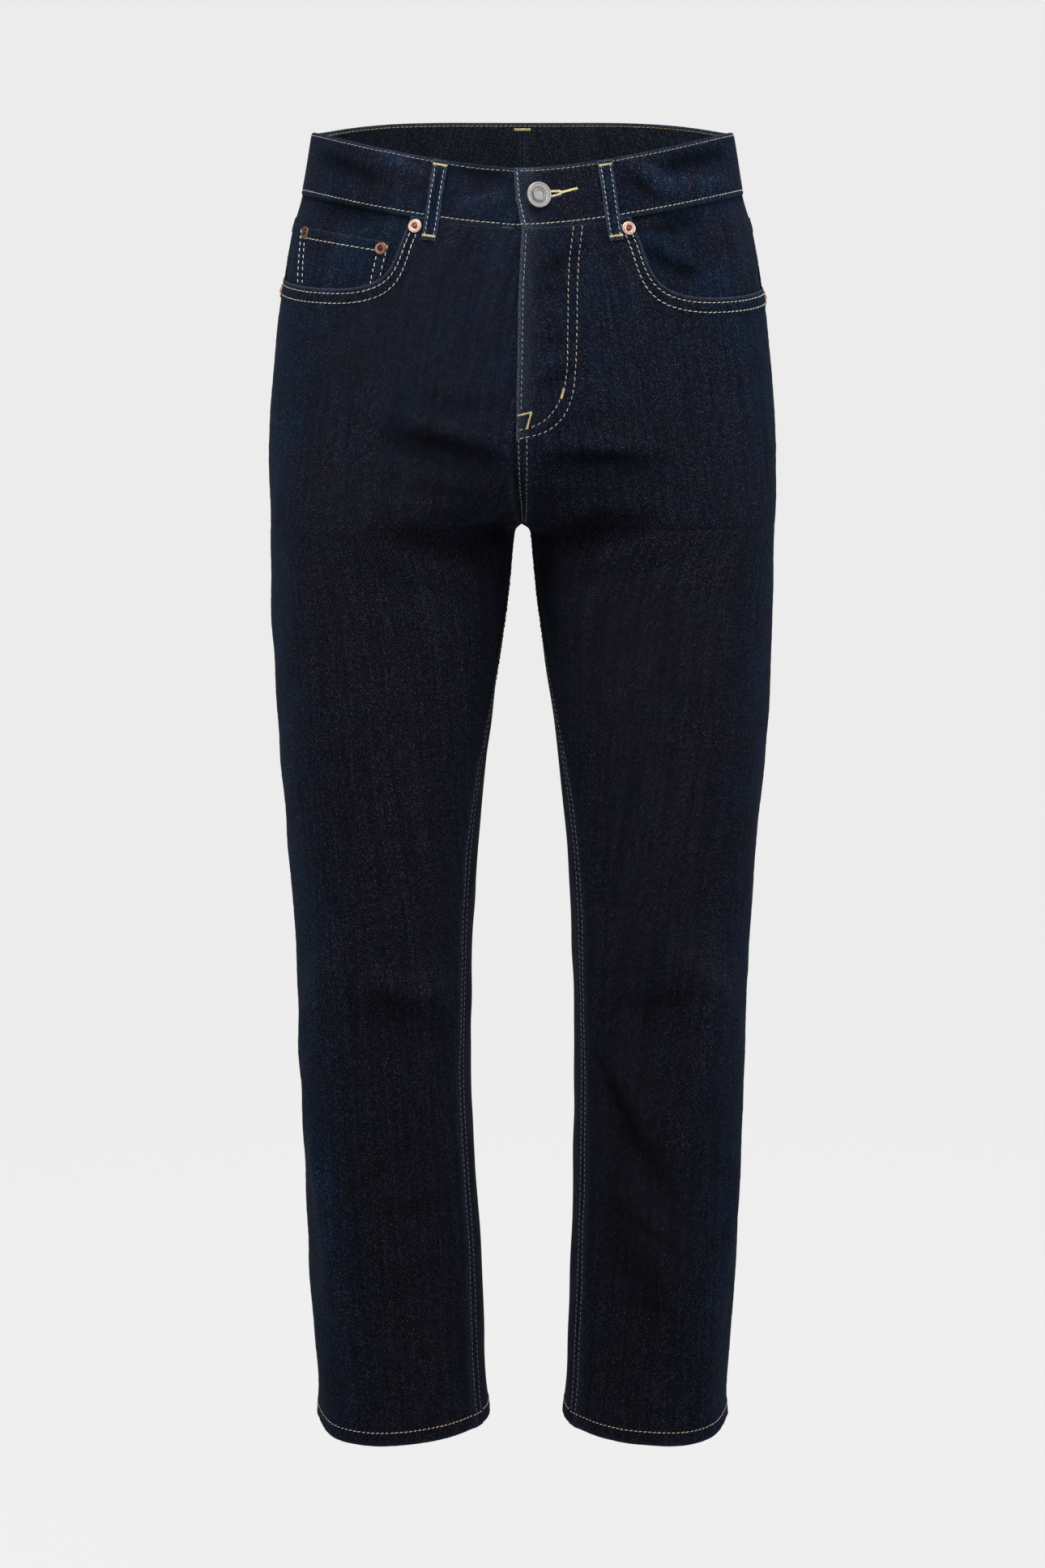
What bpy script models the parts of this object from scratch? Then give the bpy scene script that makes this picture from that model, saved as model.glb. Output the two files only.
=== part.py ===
"""Straight leg jeans, held up at the waist and filled out as they are worn, with nobody in them.

Metres, +Z up. The front looks along -Y, and the wearer's left is +X. The origin is the middle of the
waist opening, level with the top of the waistband at the side seams.

The cloth's form is worked out once, as a lattice of points on its outer face: rows run round the
garment, and columns run down it. A place on the cloth is (u, drop). u is 0 at the outseam, -1 at the
inner end of the front (the fly, then the inseam) and +1 at the inner end of the back (the seat seam,
then the inseam). drop is how far below the waist the place lies. Every piece of cloth is cut out of
that lattice by its outline in (u, drop), and then made a wall between two heights off the face.
"""

import math

import bpy
from mathutils import Vector
from mathutils.geometry import delaunay_2d_cdt

MM = 0.001

# Cloth and seams
WALL = 1.2 * MM  # one layer of denim
GAP = 0.3 * MM  # between pieces that are sewn together or lie on each other
SEAM_U = 0.0006  # half a seam's gap, as a share of the half ring

# Heights of the main garment
WAISTBAND_HEIGHT = 46 * MM
FLY_END = 222 * MM
CROTCH = 289.6 * MM
HEM = 977 * MM
HEM_TURN_UP, HEM_LAYERS = 12 * MM, 3
HEM_STEP = HEM - HEM_TURN_UP - 0.6 * MM  # above this drop a panel is a single layer

# The waist's edge is scooped in front and raised behind
FRONT_DIP, FRONT_SCOOP = 29.4 * MM, 1.6  # at the middle, and the exponent of its curve
BACK_RISE, BACK_SCOOP = 12.6 * MM, 4
DIP_FADES_BY = 260 * MM
HEM_FRONT_DIP = 9 * MM
HEM_DIP_FROM = 850 * MM

# Rings of the wearer's left half, seen from above: where the outer and inner edges lie across the
# garment, and how far forward and back it reaches. An inner edge under zero means that the two legs
# run into each other there, and the ring is cut where it crosses the middle.
SECTION_COLUMNS = ("drop", "outer", "inner", "front", "back")
SECTIONS = (
    (0.000, 0.1560, -0.1560, -0.098, 0.104),
    (0.046, 0.1640, -0.1640, -0.103, 0.113),
    (0.071, 0.1712, -0.1712, -0.107, 0.119),
    (0.105, 0.1775, -0.1775, -0.110, 0.126),
    (0.145, 0.1830, -0.1790, -0.112, 0.132),
    (0.185, 0.1868, -0.1620, -0.113, 0.1355),
    (0.225, 0.1898, -0.1180, -0.112, 0.1365),
    (0.255, 0.1903, -0.0600, -0.111, 0.1345),
    (0.275, 0.1897, -0.0220, -0.109, 0.1315),
    (0.2896, 0.1892, 0.0000, -0.107, 0.1285),
    (0.302, 0.1890, 0.0068, -0.105, 0.1255),
    (0.345, 0.1886, 0.0112, -0.101, 0.1160),
    (0.400, 0.1866, 0.0182, -0.096, 0.1065),
    (0.460, 0.1838, 0.0262, -0.091, 0.0980),
    (0.520, 0.1785, 0.0324, -0.086, 0.0908),
    (0.580, 0.1742, 0.0364, -0.081, 0.0848),
    (0.640, 0.1714, 0.0384, -0.077, 0.0800),
    (0.700, 0.1692, 0.0397, -0.073, 0.0768),
    (0.770, 0.1669, 0.0380, -0.069, 0.0742),
    (0.840, 0.1645, 0.0350, -0.066, 0.0715),
    (0.910, 0.1605, 0.0325, -0.063, 0.0670),
    (0.950, 0.1572, 0.0308, -0.062, 0.0650),
    (0.977, 0.1580, 0.0279, -0.062, 0.0640),
    (0.990, 0.1586, 0.0270, -0.062, 0.0640),
)
SQUARENESS = 2.15  # exponent of the rings, where 2 is an ellipse
RING_STEPS = 72

# The wearer's right calf swings in a little, and the left one out
CALF_SWING = 2.8 * MM
CALF_SWING_FROM, CALF_SWING_TO = 0.70, 0.86

# Below the crotch the inseam runs forward of the leg's inner edge, and the toes point out
INSEAM_TURN = math.radians(24)
INSEAM_TURNED_BY = 0.55
TOE_OUT = 0.22
TOE_OUT_FROM = 0.62

# Rows of the lattice, as stretches: from, to, how many, and the power that crowds them towards the
# crotch. Columns are even.
COLUMNS = 12  # on each half ring
STEADY_FROM, STEADY_TO = 0.226, 0.345  # the stretch where the half rings change quickly
ROW_STRETCHES = (
    (0.0, WAISTBAND_HEIGHT, 3, 1),
    (WAISTBAND_HEIGHT, 0.112, 4, 1),
    (0.112, 0.226, 6, 1),
    (0.226, CROTCH, 6, -2),
    (CROTCH, 0.302, 3, 2),
    (0.302, 0.45, 5, 1),
    (0.45, HEM - HEM_TURN_UP, 19, 1),
    (HEM - HEM_TURN_UP, HEM, 1, 1),
)

# The largest folds: side (-1 the wearer's right, +1 the left), the two ends (u, drop), half the width,
# and the depth. A depth under zero is a ridge.
FOLD_STEPS = 6  # straight stretches in the path of a fold
FOLD_TAPER = 0.55  # how much shallower a fold is at its ends, as a share of its depth
FOLDS = (
    # Whiskers that fan out from the crotch
    (-1, -0.62, 0.221, -0.95, 0.243, 0.013, 0.0032),
    (-1, -0.53, 0.291, -0.80, 0.314, 0.014, 0.0022),
    (-1, -0.75, 0.297, -0.97, 0.278, 0.011, 0.0026),
    (1, -0.95, 0.243, -0.62, 0.240, 0.014, 0.0040),
    (1, -0.76, 0.302, -0.60, 0.282, 0.013, 0.0024),
    # Front of the knees
    (-1, -0.50, 0.650, -0.76, 0.658, 0.015, 0.0034),
    (-1, -0.60, 0.628, -0.86, 0.636, 0.014, -0.0026),
    (1, -0.74, 0.648, -0.48, 0.643, 0.015, 0.0030),
    # Front of the calves
    (-1, -0.42, 0.600, -0.05, 0.700, 0.018, -0.0030),
    (-1, -0.10, 0.735, -0.38, 0.812, 0.016, -0.0040),
    (-1, -0.26, 0.800, -0.40, 0.945, 0.015, -0.0030),
    (1, -0.83, 0.705, -0.57, 0.788, 0.017, 0.0056),
    (1, -0.82, 0.808, -0.55, 0.893, 0.016, 0.0040),
    (1, -0.47, 0.600, -0.20, 0.675, 0.017, -0.0030),
    (1, -0.05, 0.740, -0.34, 0.925, 0.016, -0.0034),
    # Under the seat
    (-1, 0.92, 0.262, 0.50, 0.318, 0.018, 0.0046),
    (1, 0.90, 0.268, 0.46, 0.330, 0.018, 0.0052),
    (-1, 0.84, 0.330, 0.58, 0.372, 0.017, 0.0030),
    # Hollows of the knees, and the calves behind
    (-1, 0.82, 0.630, 0.28, 0.650, 0.018, 0.0054),
    (-1, 0.76, 0.704, 0.38, 0.678, 0.017, 0.0040),
    (-1, 0.66, 0.826, 0.30, 0.874, 0.016, 0.0034),
    (1, 0.80, 0.644, 0.30, 0.626, 0.018, 0.0050),
    (1, 0.74, 0.688, 0.34, 0.722, 0.017, 0.0044),
    (1, 0.70, 0.866, 0.32, 0.822, 0.016, 0.0032),
)
FOLD_FADE_U = 0.10  # folds die away this near to the fly, the seat seam and the inseam

SHARP_FROM = math.radians(40)  # edges turned by more than this are drawn sharp

# Heights of the layers off the cloth's face
UNDER_PANEL = -(WALL + GAP)
BAND_OUT, BAND_IN = 0.9 * MM, -1.9 * MM
LAP_SINK = BAND_OUT - BAND_IN + GAP
LAP_SINK_FROM, LAP_SINK_TO = 19 * MM, 8 * MM  # before the middle, where the underlap drops behind
UNDERLAP = 40 * MM
LAP_EDGE = ((0.0, 6.6 * MM), (0.023, 4.8 * MM), (WAISTBAND_HEIGHT, 0.5 * MM))  # drop, past the middle

# Front pockets. The mouth is a curve from the waistband to the outseam, a little longer on the
# wearer's left: how far it reaches from the outseam, and the drop of its lowest point.
MOUTHS = {-1: (133.5 * MM, 111 * MM), 1: (136 * MM, 118 * MM)}
MOUTH_SQUARENESS = 5
MOUTH_STEPS = 7  # on each side of its corner
MOUTH_RISE = 5 * MM  # how much higher the mouth is where it meets the outseam
FACING_UNDER = 14 * MM  # how far the facing runs on behind the front panel
COIN_POCKET = ((126 * MM, 69 * MM), (36 * MM, 70 * MM))  # upper corners: from the outseam, drop
COIN_TAPER = 9 * MM  # how much its sides lean in
COIN_CLEAR = 0.8 * MM  # above the mouth's edge, where the coin pocket passes behind it

# Back pockets and yoke
YOKE_AT_SIDE, YOKE_AT_SEAT = 73 * MM, 112 * MM
BACK_POCKET = (  # corners: from the outseam, drop
    (52 * MM, 114 * MM),
    (208 * MM, 124 * MM),
    (197 * MM, 258 * MM),
    (129 * MM, 277 * MM),
    (64 * MM, 250 * MM),
)

# Fly shield: how wide on each side of the middle, and the radius of its lower corner
SHIELD = {-1: 25 * MM, 1: 36 * MM}
SHIELD_TOP, SHIELD_END = WAISTBAND_HEIGHT + 1.2 * MM, 216 * MM
SHIELD_CORNER, SHIELD_CORNER_STEPS = 30 * MM, 5

# Belt loops: name, side (0 across the middle), u at the waist's edge, u at the lower end
LOOPS = (
    ("belt_loop_front_right", -1, -0.712, -0.690),
    ("belt_loop_front_left", 1, -0.712, -0.690),
    ("belt_loop_back_right", -1, 0.300, 0.290),
    ("belt_loop_back_left", 1, 0.300, 0.290),
    ("belt_loop_centre_back", 0, 1.0, 1.0),
)
LOOP_WIDTH = 10.5 * MM
LOOP_TOP, LOOP_END = 0.6 * MM, 62 * MM
LOOP_CREASES = (8 * MM, 22 * MM, 36 * MM)
OFF_BAND_FROM, OFF_BAND_TO = 47 * MM, 52 * MM  # where a loop steps down off the waistband
LOOP_THICKNESS = 1.6 * MM
LOOP_BULGE = 1.4 * MM

# Rivets: name, side, from the outseam, drop
RIVETS = (
    ("rivet_mouth_right", -1, 139 * MM, 52.5 * MM),
    ("rivet_mouth_left", 1, 140.5 * MM, 54 * MM),
    ("rivet_side_right", -1, 11 * MM, 116.5 * MM),
    ("rivet_side_left", 1, 9 * MM, 121.5 * MM),
    ("rivet_coin_outer", -1, 44.6 * MM, 75 * MM),
    ("rivet_coin_inner", -1, 119.5 * MM, 74 * MM),
)
RIVET_PROFILE = (  # radius, height
    (0.0, 2.2 * MM),
    (1.9 * MM, 1.9 * MM),
    (2.5 * MM, 1.2 * MM),
    (3.6 * MM, 1.6 * MM),
    (4.7 * MM, 1.3 * MM),
    (5.0 * MM, 0.8 * MM),
    (4.8 * MM, GAP),
    (0.0, GAP),
)
RIVET_STEPS = 12

# Button: its post goes through the overlap into the underlap
BUTTON_FROM_MIDDLE, BUTTON_DROP = 11.7 * MM, 20.6 * MM
POST_RADIUS, POST_HOLE, POST_HOLE_SIDES = 2.6 * MM, 3.6 * MM, 8
BUTTON_PROFILE = (  # radius, height
    (0.0, 4.5 * MM),
    (5.4 * MM, 4.3 * MM),
    (6.4 * MM, 3.8 * MM),
    (7.6 * MM, 4.3 * MM),
    (9.1 * MM, 4.0 * MM),
    (9.8 * MM, 3.2 * MM),
    (9.2 * MM, 2.3 * MM),
    (6.6 * MM, 1.5 * MM),
    (POST_RADIUS, 1.4 * MM),
    (POST_RADIUS, BAND_IN),
    (0.0, BAND_IN),
)
BUTTON_STEPS = 24

# Finishes: colour, roughness, metallic
DENIM = ((0.012, 0.014, 0.022), 0.9, 0.0)
DENIM_BAND = ((0.016, 0.020, 0.033), 0.9, 0.0)
COPPER = ((0.56, 0.30, 0.22), 0.38, 1.0)
SILVER = ((0.48, 0.47, 0.45), 0.42, 1.0)


def smooth_step(value, start, end):
    """0 before start, 1 after end, and a soft rise between."""
    t = min(1.0, max(0.0, (value - start) / (end - start)))
    return t * t * (3 - 2 * t)


def read_sections(drop):
    """The columns of SECTIONS at this drop, on a smooth curve through the rows."""
    last = len(SECTIONS) - 1
    drop = min(max(drop, SECTIONS[0][0]), SECTIONS[last][0])
    k = max(i for i in range(last) if SECTIONS[i][0] <= drop)
    low, high = SECTIONS[k], SECTIONS[k + 1]
    before, after = SECTIONS[max(k - 1, 0)], SECTIONS[min(k + 2, last)]
    span = high[0] - low[0]
    t = (drop - low[0]) / span
    row = {}
    for c, column in enumerate(SECTION_COLUMNS):
        slope_low = (high[c] - before[c]) / (high[0] - before[0]) * span
        slope_high = (after[c] - low[c]) / (after[0] - low[0]) * span
        rise = high[c] - low[c]
        bend_low, bend_high = slope_low - rise, rise - slope_high
        row[column] = low[c] + rise * t + t * (1 - t) * ((1 - t) * bend_low + t * bend_high)
    return row


def signed_power(value, power):
    """A power that keeps its value's sign."""
    return math.copysign(abs(value) ** power, value)


def ring_point(row, angle, toe_out):
    """A point of one leg's ring. The angle is 0 at the outseam and turns to the front."""
    centre = (row["outer"] + row["inner"]) / 2
    reach = (row["outer"] - row["inner"]) / 2
    across, deep = math.cos(angle), math.sin(angle)
    x = centre + reach * signed_power(across, 2 / SQUARENESS)
    if deep > 0:
        return x, row["front"] * deep ** (2 / SQUARENESS) * (1 + toe_out * across)
    return x, row["back"] * (-deep) ** (2 / SQUARENESS)


def inner_angle(row, drop):
    """The angle at which the front half of a ring ends: at the fly, or at the inseam."""
    centre = (row["outer"] + row["inner"]) / 2
    reach = (row["outer"] - row["inner"]) / 2
    if centre < reach:
        return math.pi - math.acos(max(centre / reach, 0.0) ** (SQUARENESS / 2))
    return math.pi - INSEAM_TURN * smooth_step(drop, CROTCH, INSEAM_TURNED_BY)


def ring_length(points):
    """The length of a run of flat points."""
    return sum(math.dist(a, b) for a, b in zip(points, points[1:]))


def dense_half(drop, half, side=1):
    """Close points along half a ring, from the outseam to the inner end of its front or its back."""
    row = read_sections(drop)
    row["inner"] += side * CALF_SWING * smooth_step(drop, CALF_SWING_FROM, CALF_SWING_TO)
    toe_out = TOE_OUT * smooth_step(drop, TOE_OUT_FROM, HEM)
    end = inner_angle(row, drop)
    if half > 0:
        end = -end if drop < CROTCH else end - 2 * math.pi
    return row, [ring_point(row, end * k / RING_STEPS, toe_out) for k in range(RING_STEPS + 1)]


STEADY = {
    half: [ring_length(dense_half(drop, half)[1]) for drop in (STEADY_FROM, STEADY_TO)] for half in (-1, 1)
}


def half_ring(drop, half, side):
    """COLUMNS + 1 points from the outseam to the inner end, and how long the half ring is.

    Round the crotch the half ring quickly grows longer, and most of that goes in next to its inner end.
    """
    row, dense = dense_half(drop, half, side)
    length = ring_length(dense)
    steady = length
    if STEADY_FROM < drop < STEADY_TO:
        start, end = STEADY[half]
        steady = start + (end - start) * smooth_step(drop, STEADY_FROM, STEADY_TO)
    points, k, along = [], 0, 0.0
    for j in range(COLUMNS + 1):
        share = j / COLUMNS
        target = steady * share + (length - steady) * share**3
        step = math.dist(dense[k], dense[k + 1])
        while k < RING_STEPS - 1 and along + step < target:
            along += step
            k += 1
            step = math.dist(dense[k], dense[k + 1])
        t = (target - along) / step
        points.append([dense[k][c] + (dense[k + 1][c] - dense[k][c]) * t for c in (0, 1)])
    return row, points, length


def level_of(x, y, row, drop):
    """How high a point of a ring lies.

    The waist is scooped in front and raised behind, and the hem dips in front.
    """
    share = min(1.0, abs(x) / row["outer"])
    scoop = -FRONT_DIP * (1 - share**FRONT_SCOOP) if y < 0 else BACK_RISE * (1 - share**BACK_SCOOP)
    hem_dip = HEM_FRONT_DIP * max(0.0, y / row["front"]) * smooth_step(drop, HEM_DIP_FROM, HEM)
    return -drop + scoop * (1 - smooth_step(drop, 0.0, DIP_FADES_BY)) - hem_dip


def lattice_drops():
    """The drops of the lattice's rows."""
    drops = [ROW_STRETCHES[0][0]]
    for start, end, count, power in ROW_STRETCHES:
        for k in range(1, count + 1):
            share = (k / count) ** power if power > 0 else 1 - (1 - k / count) ** -power
            drops.append(start + (end - start) * share)
    return drops


DROPS = lattice_drops()
STEPS_U = [(j - COLUMNS) / COLUMNS for j in range(2 * COLUMNS + 1)]
LATTICE = {}  # for each side, its rows of points and its rows of outward directions
FRONT_ARCS, BACK_ARCS = [], []  # each half ring's length, for each row


def base_row(drop, side):
    """One row of the lattice, from the front's inner end round the outseam to the back's inner end."""
    row, front, front_length = half_ring(drop, -1, side)
    _, back, back_length = half_ring(drop, 1, side)
    ring = front[::-1] + back[1:]
    points = [Vector((side * x, y, level_of(x, y, row, drop))) for x, y in ring]
    return points, front_length, back_length


def arc_at(u, drop):
    """The length round the garment that u runs over from 0 to 1, on the front or the back."""
    arcs = FRONT_ARCS if u < 0 else BACK_ARCS
    k = max(i for i in range(len(DROPS) - 1) if DROPS[i] <= max(drop, 0.0))
    t = (min(drop, HEM) - DROPS[k]) / (DROPS[k + 1] - DROPS[k])
    return arcs[k] + (arcs[k + 1] - arcs[k]) * t


def normals_of(points, side):
    """The outward direction at each point of a lattice."""
    rows, columns = len(points), len(points[0])
    found = []
    for i, drop in enumerate(DROPS):
        line = []
        for j in range(columns):
            left, right = points[i][max(j - 1, 0)], points[i][min(j + 1, columns - 1)]
            at_end = j in (0, columns - 1)
            if at_end and drop > CROTCH:  # the ring closes at the inseam
                left, right = points[i][columns - 2], points[i][1]
            down = points[min(i + 1, rows - 1)][j] - points[max(i - 1, 0)][j]
            out = (right - left).cross(down) * -side
            if at_end and abs(drop - CROTCH) < 1e-6:  # the four seams meet at the crotch
                out = Vector((-side, 0.0, -1.0))
            elif at_end:
                out.x *= smooth_step(drop, FLY_END, CROTCH)
            line.append(out.normalized())
        found.append(line)
    return found


def fold_at(point, paths):
    """How far the folds move a point of the cloth in."""
    total = 0.0
    for path, width, depth in paths:
        nearest, share = math.inf, 0.0
        for k, (start, end) in enumerate(zip(path, path[1:])):
            run = end - start
            t = min(max((point - start).dot(run) / run.length_squared, 0.0), 1.0)
            away = (point - start - run * t).length
            if away < nearest:
                nearest, share = away, (k + t) / (len(path) - 1)
        total += depth * math.exp(-((nearest / width) ** 2)) * (1 - FOLD_TAPER * (2 * share - 1) ** 2)
    return total


def fold_cloth(side):
    """Presses one side's folds into its lattice."""
    points, outward = LATTICE[side]
    paths = []
    for fold_side, u0, drop0, u1, drop1, width, depth in FOLDS:
        if fold_side == side:
            shares = [k / FOLD_STEPS for k in range(FOLD_STEPS + 1)]
            path = [on_cloth(side, u0 + (u1 - u0) * t, drop0 + (drop1 - drop0) * t)[0] for t in shares]
            paths.append((path, width, depth))
    folded = []
    for line, directions in zip(points, outward):
        near_end = [smooth_step(1 - abs(u), 0.0, FOLD_FADE_U) for u in STEPS_U]
        depths = [fold_at(point, paths) * fade for point, fade in zip(line, near_end)]
        folded.append([point - n * depth for point, n, depth in zip(line, directions, depths)])
    LATTICE[side] = (folded, normals_of(folded, side))


def make_lattice():
    """The cloth's outer face on both sides, with its outward directions, and then its folds."""
    for side in (-1, 1):
        points = []
        for drop in DROPS:
            row, front_length, back_length = base_row(drop, side)
            points.append(row)
            if side > 0:
                FRONT_ARCS.append(front_length)
                BACK_ARCS.append(back_length)
        LATTICE[side] = (points, normals_of(points, side))
    for side in (-1, 1):
        fold_cloth(side)


def node_at(side, i, j):
    """A lattice point and its outward direction. Past the middle it belongs to the other side."""
    last = 2 * COLUMNS
    if j < 0:
        side, j = -side, -j
    elif j > last:
        side, j = -side, 2 * last - j
    points, outward = LATTICE[side]
    return points[i][j], outward[i][j]


def on_cloth(side, u, drop):
    """The point of the faceted face at (u, drop), and the outward direction there."""
    j = math.floor((u + 1) * COLUMNS)
    i = max(k for k in range(len(DROPS) - 1) if DROPS[k] <= max(drop, 0.0))
    a = (u + 1) * COLUMNS - j
    b = (drop - DROPS[i]) / (DROPS[i + 1] - DROPS[i])
    if a >= b:
        weights = (((i, j), 1 - a), ((i, j + 1), a - b), ((i + 1, j + 1), b))
    else:
        weights = (((i, j), 1 - b), ((i + 1, j), b - a), ((i + 1, j + 1), a))
    point, outward = Vector(), Vector()
    for (row, column), weight in weights:
        p, n = node_at(side, row, column)
        point += p * weight
        outward += n * weight
    return point, outward.normalized()


def inside(point, loop):
    """Whether a flat point lies inside a closed outline."""
    x, y = point
    found = False
    for (x0, y0), (x1, y1) in zip(loop, loop[1:] + loop[:1]):
        if (y0 > y) != (y1 > y) and x < x0 + (y - y0) / (y1 - y0) * (x1 - x0):
            found = not found
    return found


def cut_flat(outline, holes=(), lines=()):
    """Cuts an outline out of the flat lattice: the places (u, drop) of its points, and its triangles.

    It keeps every line of the lattice, so that pieces which lie on each other have the same facets.
    lines are further creases, each a list of places.
    """
    us = [place[0] for place in outline]
    drops = [place[1] for place in outline]
    first = math.floor((min(us) + 1) * COLUMNS - 1e-6)
    last = math.ceil((max(us) + 1) * COLUMNS + 1e-6)
    top = max(i for i, drop in enumerate(DROPS) if drop <= max(min(drops), 0.0) + 1e-9)
    bottom = min(i for i, drop in enumerate(DROPS) if drop >= min(max(drops), HEM) - 1e-9)
    width = last - first + 1
    points = [
        Vector((j / COLUMNS - 1, DROPS[i])) for i in range(top, bottom + 1) for j in range(first, last + 1)
    ]
    edges = []
    for i in range(bottom - top + 1):
        for j in range(width):
            here = i * width + j
            if j + 1 < width:
                edges.append((here, here + 1))
            if i < bottom - top:
                edges.append((here, here + width))
                if j + 1 < width:
                    edges.append((here, here + width + 1))
    for loop in (outline, *holes):
        start = len(points)
        points += [Vector(place) for place in loop]
        edges += [(start + k, start + (k + 1) % len(loop)) for k in range(len(loop))]
    for line in lines:
        start = len(points)
        points += [Vector(place) for place in line]
        edges += [(start + k, start + k + 1) for k in range(len(line) - 1)]
    places, _, faces, *_ = delaunay_2d_cdt(points, edges, [], 0, 1e-6)
    kept = []
    for face in faces:
        middle = sum((places[v] for v in face), Vector((0, 0))) / 3
        if inside(middle, outline) and not any(inside(middle, hole) for hole in holes):
            kept.append(tuple(face))
    return places, kept


def add_object(name, mesh, finish):
    """Puts a mesh into the garment's collection, under its empty, with a finish of its own."""
    colour, roughness, metallic = finish
    material = bpy.data.materials.new(name + "_finish")
    material.use_nodes = True
    shader = material.node_tree.nodes["Principled BSDF"]
    shader.inputs["Base Color"].default_value = (*colour, 1.0)
    shader.inputs["Roughness"].default_value = roughness
    shader.inputs["Metallic"].default_value = metallic
    material.diffuse_color = (*colour, 1.0)
    mesh.materials.append(material)
    made = bpy.data.objects.new(name, mesh)
    bpy.data.collections["jeans"].objects.link(made)
    made.parent = bpy.data.objects["waist"]
    return made


def add_cloth(name, finish, patches, inner, outer, joined_at=None):
    """A closed wall of cloth between two heights off the face.

    patches are (side, outline, holes, lines). inner and outer take (side, u, drop) and give heights.
    Two patches with joined_at run into each other where u has that value, and make one body.
    """
    upper, lower, faces, number = [], [], [], {}
    for side, outline, holes, lines in patches:
        places, triangles = cut_flat(outline, holes, lines)
        for triangle in triangles:
            face = []
            for u, drop in (places[v] for v in triangle):
                own_side = 0 if joined_at and abs(u - joined_at) < 1e-6 else side
                key = (own_side, round(u, 6), round(drop, 6))
                if key not in number:
                    number[key] = len(upper)
                    base, outward = on_cloth(side, u, drop)
                    for layer, height in ((upper, outer), (lower, inner)):
                        point = base + outward * height(side, u, drop)
                        if joined_at is None:
                            point.x = side * max(side * point.x, GAP / 2)
                        layer.append(point)
                face.append(number[key])
            faces.append(face if side < 0 else face[::-1])
    count = len(upper)
    inside_faces = [[v + count for v in reversed(face)] for face in faces]
    directed = {edge for a, b, c in faces for edge in ((a, b), (b, c), (c, a))}
    rim = [(a, b) for a, b in sorted(directed) if (b, a) not in directed]
    rim_faces = [(b, a, a + count) for a, b in rim] + [(b, a + count, b + count) for a, b in rim]
    mesh = bpy.data.meshes.new(name)
    mesh.from_pydata(upper + lower, [], faces + inside_faces + rim_faces)
    mesh.shade_smooth()
    mesh.set_sharp_from_angle(angle=SHARP_FROM)
    return add_object(name, mesh, finish)


def add_turned(name, finish, profile, steps, side, u, drop):
    """A turned piece, standing on the cloth's face at (u, drop) with its axis square to it."""
    mesh = bpy.data.meshes.new(name)
    points = [(radius, 0.0, height) for radius, height in profile]
    mesh.from_pydata(points, [(k, k + 1) for k in range(len(points) - 1)], [])
    made = add_object(name, mesh, finish)
    screw = made.modifiers.new("Turn", "SCREW")
    screw.axis = "Z"
    screw.steps = screw.render_steps = steps
    screw.use_merge_vertices = True
    screw.merge_threshold = 0.01 * MM
    screw.use_smooth_shade = True
    made.location, outward = on_cloth(side, u, drop)
    made.rotation_euler = outward.to_track_quat("Z", "Y").to_euler()
    return made


def flat(height):
    """A height that is the same all over."""
    return lambda side, u, drop: height


def from_outseam(distance, drop, half=-1):
    """The place at a distance from the outseam, on the front (half -1) or on the back (half 1)."""
    u = half * distance / arc_at(half * 0.5, drop)
    return (u, drop)


def from_middle(distance, drop):
    """The place at a distance from the front's inner end."""
    return (-1 + distance / arc_at(-0.5, drop), drop)


def past_middle(distance, drop):
    """The place at a distance beyond the front's inner end, on the other side."""
    return (-1 - distance / arc_at(-0.5, drop), drop)


def panel_inner(side, u, drop):
    """The inner height of a panel: the hem is turned up twice inside."""
    return -HEM_LAYERS * WALL if drop > (HEM_STEP + HEM - HEM_TURN_UP) / 2 else -WALL


def mouth_curve(side, further=0.0):
    """The mouth of a front pocket, from the waistband to the outseam, as distances and drops."""
    across, lowest = MOUTHS[side]
    across += further
    deep = lowest + further - WAISTBAND_HEIGHT
    corner = 0.5 ** (1 / MOUTH_SQUARENESS)
    shares = []
    for k in range(MOUTH_STEPS + 1):
        share = corner * k / MOUTH_STEPS
        shares.append((share, (1 - share**MOUTH_SQUARENESS) ** (1 / MOUTH_SQUARENESS)))
    curve = []
    for away, down in [(b, a) for a, b in shares] + shares[-2::-1]:
        rise = MOUTH_RISE * max(0.0, 1 - 2 * away) ** 2
        curve.append((across * away, WAISTBAND_HEIGHT + deep * down - rise))
    return curve


def top_edge(u):
    """The place at which the pieces under the waistband begin."""
    return (u, WAISTBAND_HEIGHT + GAP)


def add_front(name, side):
    """A front panel, from the waistband to the hem, with the pocket's mouth cut out of it."""
    mouth = [from_outseam(away, drop) for away, drop in mouth_curve(side)]
    start = (mouth[0][0], WAISTBAND_HEIGHT + GAP)
    end = (-SEAM_U, mouth[-1][1])
    inner = -1 + SEAM_U
    outline = [top_edge(inner), start, *mouth[1:-1], end, (-SEAM_U, HEM), (inner, HEM)]
    lines = [[(inner, HEM_STEP), (-SEAM_U, HEM_STEP)]]
    return add_cloth(name, DENIM, [(side, outline, (), lines)], panel_inner, flat(0.0))


def add_facing(name, side):
    """The piece of denim that shows in a front pocket's mouth, behind the front panel."""
    behind = [from_outseam(away, drop) for away, drop in mouth_curve(side, FACING_UNDER)]
    start = (behind[0][0], WAISTBAND_HEIGHT + GAP)
    outline = [top_edge(-SEAM_U), (-SEAM_U, behind[-1][1]), *behind[-2:0:-1], start]
    layer = flat(UNDER_PANEL - WALL), flat(UNDER_PANEL)
    return add_cloth(name, DENIM_BAND, [(side, outline, (), ())], *layer)


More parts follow.
